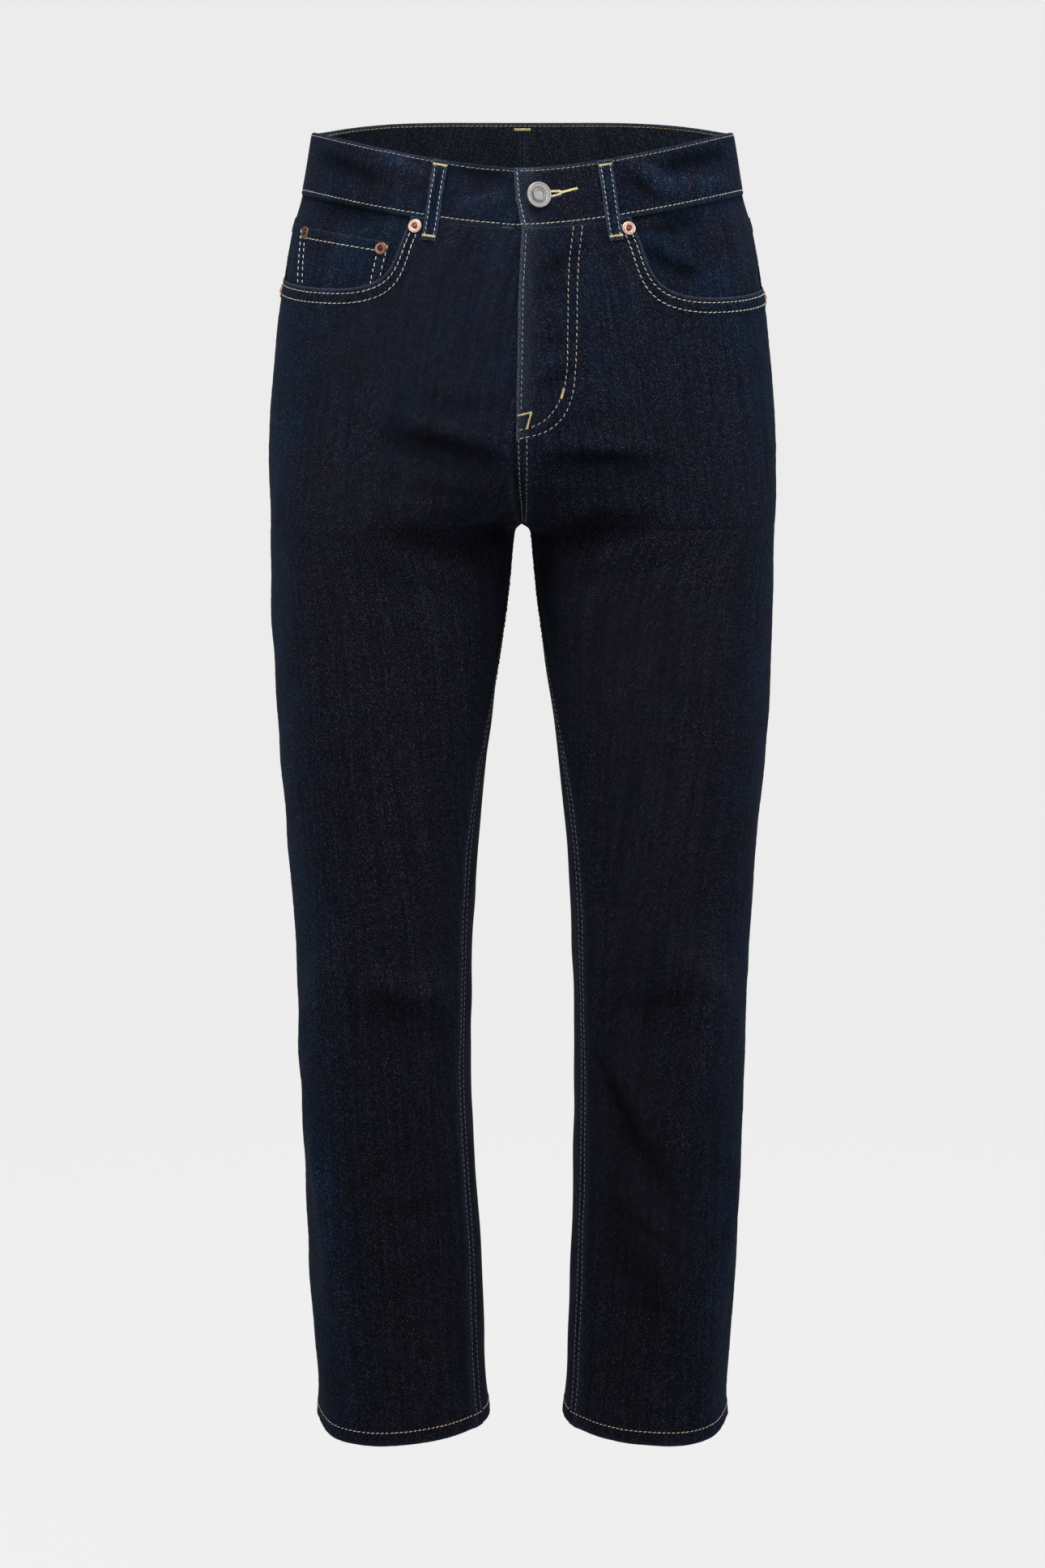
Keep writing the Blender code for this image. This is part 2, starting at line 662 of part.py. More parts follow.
def add_coin_pocket(name, side):
    """The small pocket on the facing, down to the mouth's edge."""
    (inner, inner_drop), (outer, outer_drop) = COIN_POCKET
    low = [
        (away, drop)
        for away, drop in mouth_curve(side, -COIN_CLEAR)
        if outer + COIN_TAPER < away < inner and drop > inner_drop
    ]
    corners = [(inner, inner_drop), (inner, low[0][1] - COIN_TAPER), *low, (outer + COIN_TAPER, low[-1][1])]
    outline = [from_outseam(*corner) for corner in (*corners, (outer, outer_drop))]
    return add_cloth(name, DENIM_BAND, [(side, outline, (), ())], flat(-WALL), flat(0.0))


def yoke_line(u):
    """The drop of the seam between the yoke and the back panel."""
    return YOKE_AT_SIDE + (YOKE_AT_SEAT - YOKE_AT_SIDE) * u


def add_yoke(name, side):
    """Half of the back yoke."""
    near, far = SEAM_U, 1 - SEAM_U
    outline = [top_edge(near), top_edge(far), (far, yoke_line(far)), (near, yoke_line(near))]
    return add_cloth(name, DENIM, [(side, outline, (), ())], flat(-WALL), flat(0.0))


def add_back(name, side):
    """A back panel, from the yoke to the hem."""
    near, far = SEAM_U, 1 - SEAM_U
    outline = [(near, yoke_line(near) + GAP), (far, yoke_line(far) + GAP), (far, HEM), (near, HEM)]
    lines = [[(near, HEM_STEP), (far, HEM_STEP)]]
    return add_cloth(name, DENIM, [(side, outline, (), lines)], panel_inner, flat(0.0))


def add_back_pocket(name, side):
    """A patch pocket on a back panel."""
    outline = [from_outseam(away, drop, 1) for away, drop in BACK_POCKET]
    return add_cloth(name, DENIM, [(side, outline, (), ())], flat(GAP), flat(GAP + WALL))


def add_shield(name):
    """The fly's shield, behind both fronts, with a round lower corner on the wearer's left."""
    patches = []
    for side, width in SHIELD.items():
        outline = [(-1, SHIELD_TOP), from_middle(width, SHIELD_TOP)]
        for k in range(SHIELD_CORNER_STEPS + 1):
            angle = math.pi / 2 * k / SHIELD_CORNER_STEPS
            across = width - SHIELD_CORNER * (1 - math.cos(angle)) * width / SHIELD[1]
            drop = SHIELD_END - SHIELD_CORNER * (1 - math.sin(angle))
            outline.append(from_middle(across, drop))
        outline.append((-1, SHIELD_END))
        patches.append((side, outline, (), ()))
    layer = flat(UNDER_PANEL - WALL), flat(UNDER_PANEL)
    return add_cloth(name, DENIM, patches, *layer, joined_at=-1)


def lap_sink(side, u, drop):
    """How far the waistband's underlap, on the wearer's right, drops behind the overlap."""
    before = (1 + u) * arc_at(-0.5, drop)
    return LAP_SINK * (1 - smooth_step(before, LAP_SINK_TO, LAP_SINK_FROM)) if side < 0 else 0.0


def add_waistband(name):
    """The waistband in one strip, whose left end laps over the right one at the button."""
    overlap = [past_middle(past, drop) for drop, past in LAP_EDGE]
    post = from_middle(BUTTON_FROM_MIDDLE, BUTTON_DROP)
    arc = arc_at(-0.5, BUTTON_DROP)
    hole = []
    for k in range(POST_HOLE_SIDES):
        angle = math.tau * (k + 0.5) / POST_HOLE_SIDES
        hole.append((post[0] + POST_HOLE * math.cos(angle) / arc, post[1] + POST_HOLE * math.sin(angle)))
    over = [*overlap, (1, WAISTBAND_HEIGHT), (1, 0.0)]
    ends = [past_middle(UNDERLAP, drop) for drop in (0.0, WAISTBAND_HEIGHT)]
    under = [*ends, (1, WAISTBAND_HEIGHT), (1, 0.0)]
    creases = []
    for share in (0.0, 0.5, 1.0):
        before = LAP_SINK_TO + (LAP_SINK_FROM - LAP_SINK_TO) * share
        creases.append([from_middle(before, drop) for drop in (0.0, WAISTBAND_HEIGHT)])
    return add_cloth(
        name,
        DENIM_BAND,
        [(1, over, [hole], ()), (-1, under, (), creases)],
        lambda side, u, drop: BAND_IN - lap_sink(side, u, drop),
        lambda side, u, drop: BAND_OUT - lap_sink(side, u, drop),
        joined_at=1,
    )


def loop_under(side, u, drop):
    """The inner height of a belt loop: over the waistband, then down to the panel."""
    off_band = smooth_step(drop, OFF_BAND_FROM, OFF_BAND_TO)
    bulge = LOOP_BULGE * math.sin(math.pi * min(drop / OFF_BAND_FROM, 1.0)) ** 2
    return GAP + BAND_OUT * (1 - off_band) + bulge


def loop_over(side, u, drop):
    """The outer height of a belt loop."""
    return loop_under(side, u, drop) + LOOP_THICKNESS


def add_loop(name, side, u_top, u_end):
    """A belt loop, a flat strip over the waistband. The one across the middle is made in two halves."""

    def edge_place(drop, way):
        if way > 0 and not side:
            return (1, drop)
        u = u_top + (u_end - u_top) * drop / LOOP_END
        return (u + way * LOOP_WIDTH / 2 / arc_at(u_top, drop), drop)

    outline = [edge_place(LOOP_TOP, way) for way in (-1, 1)] + [edge_place(LOOP_END, way) for way in (1, -1)]
    creases = (*LOOP_CREASES, OFF_BAND_FROM, OFF_BAND_TO)
    lines = [[edge_place(drop, -1), edge_place(drop, 1)] for drop in creases]
    patches = [(each, outline, (), lines) for each in ((side,) if side else (-1, 1))]
    return add_cloth(name, DENIM_BAND, patches, loop_under, loop_over, None if side else 1)


def build():
    """Clears the scene and makes every piece."""
    for old in list(bpy.data.objects):
        bpy.data.objects.remove(old)
    collection = bpy.data.collections.new("jeans")
    bpy.context.scene.collection.children.link(collection)
    collection.objects.link(bpy.data.objects.new("waist", None))
    make_lattice()
    for side, wearer in ((-1, "right"), (1, "left")):
        add_front("front_" + wearer, side)
        add_facing("pocket_facing_" + wearer, side)
        add_yoke("yoke_" + wearer, side)
        add_back("back_" + wearer, side)
        add_back_pocket("back_pocket_" + wearer, side)
    add_coin_pocket("coin_pocket", -1)
    add_shield("fly_shield")
    add_waistband("waistband")
    for loop in LOOPS:
        add_loop(*loop)
    for name, side, away, drop in RIVETS:
        add_turned(name, COPPER, RIVET_PROFILE, RIVET_STEPS, side, *from_outseam(away, drop))
    post = from_middle(BUTTON_FROM_MIDDLE, BUTTON_DROP)
    add_turned("button", SILVER, BUTTON_PROFILE, BUTTON_STEPS, 1, *post)


build()
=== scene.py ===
"""Straight leg jeans in dark indigo denim, filled out as they are worn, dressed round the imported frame.

Metres, +Z up. The front looks along -Y and the wearer's left is +X. A place on the cloth is (u, drop): u is
0 at the outseam, -1 at the inner end of the front (the fly, then the inseam) and +1 at the inner end of the
back (the seat seam, then the inseam), and drop is how far below the waist it lies. Every piece of cloth is
cut by its outline in (u, drop) and made a thin wall between two heights off the cloth's face.
"""

import logging
import math
from collections.abc import Callable, Sequence
from dataclasses import dataclass, field
from enum import Enum

import bpy
import numpy as np
from mathutils import Matrix, Vector
from mathutils.geometry import delaunay_2d_cdt


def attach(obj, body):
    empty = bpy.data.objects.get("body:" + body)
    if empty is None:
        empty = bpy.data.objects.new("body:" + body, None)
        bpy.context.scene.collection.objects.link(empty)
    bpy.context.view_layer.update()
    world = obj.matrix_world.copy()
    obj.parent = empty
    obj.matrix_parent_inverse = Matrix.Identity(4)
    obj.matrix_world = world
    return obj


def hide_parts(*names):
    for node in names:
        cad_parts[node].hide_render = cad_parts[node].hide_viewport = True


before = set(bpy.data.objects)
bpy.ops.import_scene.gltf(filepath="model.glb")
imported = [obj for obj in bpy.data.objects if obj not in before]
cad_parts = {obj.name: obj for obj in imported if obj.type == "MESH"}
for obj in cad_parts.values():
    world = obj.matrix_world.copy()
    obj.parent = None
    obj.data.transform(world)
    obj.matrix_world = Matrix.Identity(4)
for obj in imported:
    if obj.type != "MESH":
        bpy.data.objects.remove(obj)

MM = 0.001
FINE_STEP = 0.8 * MM  # between two points of a path whose turns are tight
JOINED = 1e-6  # what lies this close to a join lies on it
WEARER = {-1: "right", 1: "left"}
HALVES = (-1, 1)  # front, back
log = logging.getLogger("jeans")

Array = np.ndarray
Pair = tuple[float, float]
Triple = tuple[float, float, float]
Places = Sequence[Pair]
Material = bpy.types.Material
Mesh = bpy.types.Mesh
Piece = bpy.types.Object
Socket = bpy.types.NodeSocket


def ramp(value: Array | float, start: float, end: float) -> Array:
    """A soft rise between two values.

    Args:
        value: the numbers to read.
        start: where the rise begins.
        end: where it is complete.

    Returns:
        0 before start, 1 after end, and a soft rise between.
    """
    t = np.clip((np.asarray(value, float) - start) / (end - start), 0.0, 1.0)
    return t * t * (3 - 2 * t)


def fall(value: Array | float, start: float, end: float) -> Array:
    """A soft fall from 1 at start to 0 at end."""
    return 1 - ramp(value, start, end)


def segments_of(path: Array, closed: bool = False) -> Array:
    """The straight stretches of a flat path, as rows of x0, y0, x1, y1."""
    ends = np.roll(path, -1, axis=0) if closed else path[1:]
    starts = path if closed else path[:-1]
    return np.concatenate([starts, ends], axis=1)


def distance_to(points: Array, segments: Array, reach: float = 18 * MM) -> Array:
    """How far each flat point lies from the nearest of some straight stretches.

    Args:
        points: flat points, one in each row.
        segments: rows of x0, y0, x1, y1.
        reach: the distance that is given for points further off than that.

    Returns:
        One distance for each point.
    """
    found = np.full(len(points), reach)
    if not len(segments) or not len(points):
        return found
    low = np.minimum(segments[:, :2], segments[:, 2:]) - reach
    high = np.maximum(segments[:, :2], segments[:, 2:]) + reach
    cells = np.floor(points / reach).astype(int)
    keys, owner = np.unique(cells, axis=0, return_inverse=True)
    order = np.argsort(owner.reshape(-1), kind="stable")
    starts = np.searchsorted(owner.reshape(-1)[order], np.arange(len(keys) + 1))
    for k, key in enumerate(keys):
        near = ((low < (key + 1) * reach) & (high > key * reach)).all(axis=1)
        if not near.any():
            continue
        chosen = order[starts[k] : starts[k + 1]]
        start, run = segments[near, :2], segments[near, 2:] - segments[near, :2]
        away = points[chosen, None, :] - start
        t = np.clip((away * run).sum(axis=2) / np.maximum((run**2).sum(axis=1), 1e-18), 0.0, 1.0)
        away -= t[..., None] * run
        found[chosen] = np.minimum(found[chosen], np.sqrt((away**2).sum(axis=2).min(axis=1)))
    return found


@dataclass
class JeansForm:
    """The outer face of the cloth: rings of points round each leg, with the folds pressed into them.

    These are the sizes and the folds of the frame's solids, on a finer lattice, with small folds added.
    """

    waistband_height: float = 46 * MM
    fly_end: float = 222 * MM
    crotch: float = 289.6 * MM
    hem: float = 977 * MM
    hem_turn_up: float = 12 * MM
    front_dip: float = 29.4 * MM
    front_scoop: float = 1.6
    back_rise: float = 12.6 * MM
    back_scoop: float = 4
    dip_fades_by: float = 260 * MM
    hem_front_dip: float = 9 * MM
    hem_dip_from: float = 850 * MM
    squareness: float = 2.15
    ring_steps: int = 360
    calf_swing: float = 2.8 * MM
    calf: Pair = (0.70, 0.86)
    even_to: float = 226 * MM
    even_from: float = 345 * MM
    inseam_turn: float = math.radians(24)
    inseam_turned_by: float = 0.55
    toe_out: float = 0.22
    toe_out_from: float = 0.62
    columns: int = 120
    spare_columns: int = 34
    row_height: float = 2.4 * MM
    fold_steps: int = 8
    fold_taper: float = 0.55
    fold_fade_u: float = 0.10
    half_girths: Pair = (0.22, 0.26)  # roughly, of the front and the back
    waves: int = 14
    wave_lengths: Pair = (0.028, 0.11)
    wave_heights: Pair = (0.05, 0.16)  # in mm
    # drop, outer edge, inner edge, front, back of the wearer's left half, in mm
    sections: tuple = (
        (0, 156, -156, -98, 104), (46, 164, -164, -103, 113), (71, 171.2, -171.2, -107, 119),
        (105, 177.5, -177.5, -110, 126), (145, 183, -179, -112, 132), (185, 186.8, -162, -113, 135.5),
        (225, 189.8, -118, -112, 136.5), (255, 190.3, -60, -111, 134.5), (275, 189.7, -22, -109, 131.5),
        (289.6, 189.2, 0, -107, 128.5), (293.5, 189.1, 5.6, -106.4, 127.6), (302, 189, 7.3, -105, 125.5),
        (345, 188.6, 11.3, -101, 116), (400, 186.6, 18.2, -96, 106.5), (460, 183.8, 26.2, -91, 98),
        (520, 178.5, 32.4, -86, 90.8), (580, 174.2, 36.4, -81, 84.8), (640, 171.4, 38.4, -77, 80),
        (700, 169.2, 39.7, -73, 76.8), (770, 166.9, 38, -69, 74.2), (840, 164.5, 35, -66, 71.5),
        (910, 160.5, 32.5, -63, 67), (950, 157.2, 30.8, -62, 65), (977, 158, 27.9, -62, 64), (990, 158.6, 27, -62, 64),
    )
    # first end (u, drop), second end (u, drop), half the width, depth (under zero for a ridge), in thousandths
    right_folds: tuple = (
        # Main folds
        (-620, 221, -950, 243, 12, 4.4), (-530, 291, -800, 314, 13, 3), (-750, 297, -970, 278, 11, 2.6),
        (-500, 650, -760, 658, 15, 3.4), (-600, 628, -860, 636, 14, -2.6), (-420, 600, -50, 700, 18, -3),
        (-140, 735, -380, 812, 15, -2.6), (-260, 800, -400, 945, 15, -3), (920, 262, 500, 318, 18, 4.6),
        (840, 330, 580, 372, 17, 3), (820, 630, 280, 650, 18, 5.4), (760, 704, 380, 678, 17, 4),
        (660, 826, 300, 874, 16, 3.4),
        # Waistband and pocket facings
        (-223, 16, -483, 23, 5.5, 2.5), (-487, 5, -671, 14, 5, -2.5), (-750, 4, -942, 7, 5, 2.2),
        (-795, 32, -961, 20, 5, -2.5), (-238, 52, -513, 49, 7, 2),
        # Creases across the fly and beside it
        (-985, 150, -880, 158, 5, 0.8), (-960, 200, -700, 192, 8, 1.2),
        # Fine whiskers on the thighs
        (-667, 224, -837, 236, 5, 1.8), (-690, 211, -950, 227, 6.5, -1.4), (-713, 281, -916, 300, 7.5, 1.8),
        (-560, 252, -860, 268, 7, 1.2), (-480, 318, -780, 345, 9, 1),
        # Knees
        (-472, 646, -675, 658, 6.5, 0.6), (-664, 644, -837, 632, 7.5, -1.6), (-694, 645, -540, 641, 7, 1),
        (-840, 668, -560, 682, 8.5, 1.2), (-300, 642, -80, 630, 8.5, 1.2),
        # Calves
        (-227, 745, -366, 887, 7.5, -1.8), (-370, 759, -449, 878, 9, 1.2), (-551, 808, -886, 801, 7, 1.2),
        (-700, 752, -480, 790, 8.5, 1.1), (-780, 845, -520, 880, 8.5, 1.2),
        # Behind: seat, thighs and calves
        (900, 292, 560, 345, 8, 1.4), (780, 610, 360, 618, 8.5, 1.4), (720, 672, 300, 664, 8.5, 1.4),
        (640, 760, 300, 790, 8.5, 1.2),
    )
    left_folds: tuple = (
        # Main folds
        (-950, 243, -620, 240, 12, 4.8), (-760, 302, -600, 282, 12, 3.2), (-740, 648, -480, 643, 15, 3),
        (-830, 705, -570, 788, 15, 3.6), (-820, 808, -550, 893, 16, 4), (-470, 600, -200, 675, 17, -3),
        (-100, 740, -340, 925, 15, -2.4), (900, 268, 460, 330, 18, 5.2), (800, 644, 300, 626, 18, 5),
        (740, 688, 340, 722, 17, 4.4), (700, 866, 320, 822, 16, 3.2),
        # Waistband and pocket facings
        (-615, 5, -494, 26, 5, -2.5), (-491, 14, -220, 14, 5, 2.5), (-543, 29, -242, 32, 5, -2.2),
        (-622, 17, -524, 35, 4.5, 2.2), (-588, 73, -513, 89, 4, 2.9), (-513, 89, -430, 95, 4, 2.6),
        (-539, 58, -385, 56, 6, 2.2),
        # Creases across the fly and beside it
        (-965, 86, -800, 64, 4.2, 2.3), (-975, 104, -880, 94, 3.6, 1.4), (-980, 184, -850, 168, 4.5, 2.1),
        (-970, 148, -860, 138, 4, 1.3), (-975, 124, -870, 116, 4, -0.9), (-975, 166, -870, 156, 4, -1),
        (-940, 212, -720, 206, 7, 1.1),
        # Fine whiskers on the thighs
        (-886, 239, -645, 240, 5, 1.4), (-852, 228, -603, 231, 6.5, -1.6), (-826, 297, -720, 278, 8, 1.3),
        (-560, 256, -900, 266, 7.5, 1.3), (-500, 312, -800, 330, 9, 1.2),
        # Knees
        (-720, 646, -483, 641, 6, 0.5), (-547, 603, -325, 641, 8, -1.6), (-660, 662, -420, 668, 8, 1.2),
        (-800, 622, -560, 615, 8.5, 1), (-320, 650, -60, 640, 8.5, 1.2),
        # Calves
        (-955, 668, -670, 760, 4.5, 2.4), (-820, 712, -460, 816, 4.5, 2), (-818, 799, -498, 837, 4.8, 2),
        (-795, 685, -596, 751, 7, -1.5), (-837, 870, -498, 887, 7, 1.2), (-640, 910, -380, 930, 8, 1),
        (-420, 760, -200, 800, 8.5, 1.1),
        # Behind: seat, thighs and calves
        (880, 300, 520, 360, 8.5, 1.5), (780, 398, 520, 430, 9, 1), (760, 664, 320, 652, 8.5, 1.5),
        (700, 604, 360, 598, 8.5, 1.2), (660, 778, 300, 760, 8.5, 1.2),
    )
    drops: Array = field(init=False)
    arcs: dict[int, Array] = field(init=False, default_factory=dict)
    points: dict[int, Array] = field(init=False, default_factory=dict)
    outward: dict[int, Array] = field(init=False, default_factory=dict)
    relief: dict[int, Array] = field(init=False, default_factory=dict)

    def __post_init__(self) -> None:
        """Works out the lattice of both sides and presses the folds into it."""
        low = self.crotch + 12.4 * MM
        stretches = (  # from, to, how many rows, and how much closer they lie by the crotch
            (0.0, self.even_to, 92, 1),
            (self.even_to, self.crotch, 40, -2),
            (self.crotch, low, 8, 2),
            (low, self.hem, 272, 1),
        )
        drops = [0.0]
        for start, end, count, power in stretches:
            share = np.arange(1, count + 1) / count
            share = share**power if power > 0 else 1 - (1 - share) ** -power
            drops.extend(start + (end - start) * share)
        self.drops = np.array(drops)
        ends = np.array([self.even_to, self.even_from])
        steady = {half: self._half_rings(1, half, ends)[3][:, -1] for half in HALVES}
        plain = {side: self._rings(side, steady) for side in WEARER}
        self._set(plain)
        folded = {side: self._fold(side) for side in WEARER}
        self._set(folded)

    def _set(self, plain: dict[int, Array]) -> None:
        """Takes each side's points, and works out the outward directions and the spare columns."""
        wide = {side: self._widen(plain[side], plain[-side]) for side in WEARER}
        outward = {side: self._normals(wide[side], side) for side in WEARER}
        self.points = wide
        self.outward = {side: self._widen(outward[side], outward[-side]) for side in WEARER}

    def _sections_at(self, drops: Array) -> Array:
        """The columns of the sections at some drops, on a smooth curve through the rows."""
        table = np.array(self.sections) * MM
        last = len(table) - 1
        drops = np.clip(drops, table[0, 0], table[last, 0])
        k = np.clip(np.searchsorted(table[:, 0], drops, side="right") - 1, 0, last - 1)
        low, high = table[k], table[k + 1]
        before, after = table[np.maximum(k - 1, 0)], table[np.minimum(k + 2, last)]
        span = high[:, :1] - low[:, :1]
        t = (drops[:, None] - low[:, :1]) / span
        rise = high - low
        bend_low = (high - before) / (high[:, :1] - before[:, :1]) * span - rise
        bend_high = rise - (after - low) / (after[:, :1] - low[:, :1]) * span
        return low + rise * t + t * (1 - t) * ((1 - t) * bend_low + t * bend_high)

    def _half_rings(self, side: int, half: int, drops: Array) -> tuple[Array, ...]:
        """Close points of half rings, from the outseam inwards.

        Args:
            side: -1 for the wearer's right leg, 1 for the left.
            half: -1 for the front, 1 for the back.
            drops: where the rings lie.

        Returns:
            The sections' columns, the points' x and y, and how far along its half ring each lies.
        """
        rows = self._sections_at(drops)
        outer, inner, front, back = (rows[:, c : c + 1] for c in range(1, 5))
        level = drops[:, None]
        inner = inner + side * self.calf_swing * ramp(level, *self.calf)
        centre, reach = (outer + inner) / 2, (outer - inner) / 2
        cut = np.arccos(np.clip(centre / reach, 0, 1) ** (self.squareness / 2))
        turned = self.inseam_turn * ramp(level, self.crotch, self.inseam_turned_by)
        end = math.pi - np.where(centre < reach, cut, turned)
        if half > 0:
            end = np.where(level < self.crotch, -end, end - 2 * math.pi)
        angle = end * np.linspace(0, 1, self.ring_steps + 1)
        across, deep = np.cos(angle), np.sin(angle)
        x = centre + reach * np.sign(across) * np.abs(across) ** (2 / self.squareness)
        toe_out = 1 + self.toe_out * ramp(level, self.toe_out_from, self.hem) * across
        y = np.where(deep > 0, front * toe_out, back) * np.abs(deep) ** (2 / self.squareness)
        steps = np.hypot(np.diff(x), np.diff(y))
        along = np.concatenate([np.zeros_like(level), np.cumsum(steps, axis=1)], axis=1)
        return rows, x, y, along

    def _rings(self, side: int, steady: dict[int, Array]) -> Array:
        """One side's lattice before its folds.

        Args:
            side: -1 for the wearer's right, 1 for the left.
            steady: how long each half ring is above and below the crotch.

        Returns:
            Points by row and column, from the front's inner end round to the back's.
        """
        share = np.linspace(0, 1, self.columns + 1)
        halves = {}
        for half in HALVES:
            rows, x, y, along = self._half_rings(side, half, self.drops)
            length = along[:, -1]
            start, end = steady[half]
            between = (self.drops > self.even_to) & (self.drops < self.even_from)
            turned = ramp(self.drops, self.even_to, self.even_from)
            even = np.where(between, start + (end - start) * turned, length)
            target = even[:, None] * share + (length - even)[:, None] * share**3
            ring = [(np.interp(t, a, px), np.interp(t, a, py)) for t, a, px, py in zip(target, along, x, y)]
            halves[half] = np.array(ring).transpose(0, 2, 1)
            if side > 0:
                self.arcs[half] = length
        ring = np.concatenate([halves[-1][:, ::-1], halves[1][:, 1:]], axis=1)
        x, y = ring[..., 0], ring[..., 1]
        outer, front, drops = rows[:, 1:2], rows[:, 3:4], self.drops[:, None]
        near = np.minimum(1.0, np.abs(x) / outer)
        scoop = np.where(
            y < 0,
            -self.front_dip * (1 - near**self.front_scoop),
            self.back_rise * (1 - near**self.back_scoop),
        )
        low = ramp(drops, self.hem_dip_from, self.hem)
        hem_dip = self.hem_front_dip * np.maximum(0.0, y / front) * low
        z = -drops + scoop * fall(drops, 0.0, self.dip_fades_by) - hem_dip
        return np.stack([side * x, y, z], axis=2)

    def _widen(self, own: Array, other: Array) -> Array:
        """Adds spare columns past both ends of a side.

        Above the crotch they belong to the other side, and below it they run on round the same leg.
        """
        last, spare = own.shape[1] - 1, self.spare_columns
        above = (other[:, spare:0:-1], own, other[:, last - 1 : last - 1 - spare : -1])
        below = (own[:, last - spare : last], own, own[:, 1 : spare + 1])
        is_above = (self.drops <= self.crotch)[:, None, None]
        return np.where(is_above, np.concatenate(above, axis=1), np.concatenate(below, axis=1))

    def _normals(self, wide: Array, side: int) -> Array:
        """The outward direction at each of a side's own points."""
        spare, last = self.spare_columns, 2 * self.columns
        round_it = wide[:, spare + 1 : spare + last + 2] - wide[:, spare - 1 : spare + last]
        own = wide[:, spare : spare + last + 1]
        down = np.concatenate([own[1:2] - own[:1], own[2:] - own[:-2], own[-1:] - own[-2:-1]])
        out = np.cross(round_it, down) * -side
        crotch = int(np.argmin(np.abs(self.drops - self.crotch)))
        out[crotch, [0, last]] = (-side, 0.0, -1.0)
        return out / np.maximum(np.linalg.norm(out, axis=2, keepdims=True), 1e-12)

    def _fold(self, side: int) -> Array:
        """Presses one side's folds and a slight unevenness into the form.

        Args:
            side: -1 for the wearer's right side, 1 for the left.

        Returns:
            The side's points, one ring in each row.
        """
        spare, last = self.spare_columns, 2 * self.columns
        own = self.points[side][:, spare : spare + last + 1].copy()
        outward = self.outward[side][:, spare : spare + last + 1]
        depth = np.zeros(own.shape[:2])
        share = np.linspace(0, 1, self.fold_steps + 1)
        for u0, drop0, u1, drop1, width, deep in np.array(self.right_folds if side < 0 else self.left_folds) * MM:
            path, _ = self.place(side, u0 + (u1 - u0) * share, drop0 + (drop1 - drop0) * share)
            low, high = path.min(axis=0) - 3 * width, path.max(axis=0) + 3 * width
            close = ((own > low) & (own < high)).all(axis=2)
            points = own[close]
            nearest, along = np.full(len(points), np.inf), np.zeros(len(points))
            for k, (start, end) in enumerate(zip(path, path[1:])):
                run = end - start
                t = np.clip((points - start) @ run / (run @ run), 0.0, 1.0)
                away = np.linalg.norm(points - start - t[:, None] * run, axis=1)
                closer = away < nearest
                nearest[closer] = away[closer]
                along[closer] = (k + t[closer]) / self.fold_steps
            bend = np.exp(-((nearest / width) ** 2)) * (1 - self.fold_taper * (2 * along - 1) ** 2)
            depth[close] += deep * bend
        u = np.linspace(-1, 1, last + 1)
        depth *= ramp(1 - np.abs(u), 0.0, self.fold_fade_u)
        self.relief[side] = np.pad(depth, ((0, 0), (spare, spare)), mode="edge")
        depth += self._unevenness(side, u)
        return own - outward * depth[..., None]

    def _unevenness(self, side: int, u: Array) -> Array:
        """The slight waviness of cloth that has been worn and washed."""
        draw = np.random.default_rng(11 + side)
        across = u * np.where(u < 0, *self.half_girths)
        total = np.zeros((len(self.drops), len(u)))
        for _ in range(self.waves):
            length, turn = draw.uniform(*self.wave_lengths), draw.uniform(0, math.pi)
            start, size = draw.uniform(0, math.tau), draw.uniform(*self.wave_heights) * MM
            wave = (across * math.cos(turn) + self.drops[:, None] * math.sin(turn)) / length
            total += size * np.sin(math.tau * wave + start)
        calm = ramp(self.drops[:, None], 0.10, 0.30) * 0.7 + 0.3
        return total * calm * ramp(1 - np.abs(u), 0.0, 0.06)

    def arc(self, half: int, drop: Array | float) -> Array:
        """The length round the garment that u runs over from 0 to 1, on the front (-1) or the back (1)."""
        return np.interp(drop, self.drops, self.arcs[half])

    def across(self, u: Array, drop: Array) -> Array:
        """How far round from the outseam a place lies, under zero on the front."""
        return u * np.where(u < 0, self.arc(-1, drop), self.arc(1, drop))

    def to_flat(self, places: Array) -> Array:
        """Places (u, drop) on a flat plan that keeps their distances, nearly."""
        u, drop = places[:, 0], places[:, 1]
        level = np.interp(drop, self.drops, np.arange(len(self.drops))) * self.row_height
        return np.stack([self.across(u, drop), level], axis=1)

    def from_flat(self, flat: Array) -> Array:
        """The places (u, drop) of points on the flat plan."""
        drop = np.interp(flat[:, 1] / self.row_height, np.arange(len(self.drops)), self.drops)
        arc = np.where(flat[:, 0] < 0, self.arc(-1, drop), self.arc(1, drop))
        return np.stack([flat[:, 0] / arc, drop], axis=1)

    def place(self, side: int, u: Array, drop: Array) -> tuple[Array, Array]:
        """Points of the cloth's face.

        Args:
            side: -1 for the wearer's right, 1 for the left.
            u: where they lie round the garment.
            drop: how far below the waist they lie.

        Returns:
            The points, and the outward directions there.
        """
        points, normals = self._sample((self.points[side], self.outward[side]), u, drop)
        return points, normals / np.maximum(np.linalg.norm(normals, axis=1, keepdims=True), 1e-12)

    def pressed(self, side: int, u: Array, drop: Array) -> Array:
        """How deep the folds press the cloth in, under zero on a ridge."""
        return self._sample((self.relief[side][..., None],), u, drop)[0][:, 0]

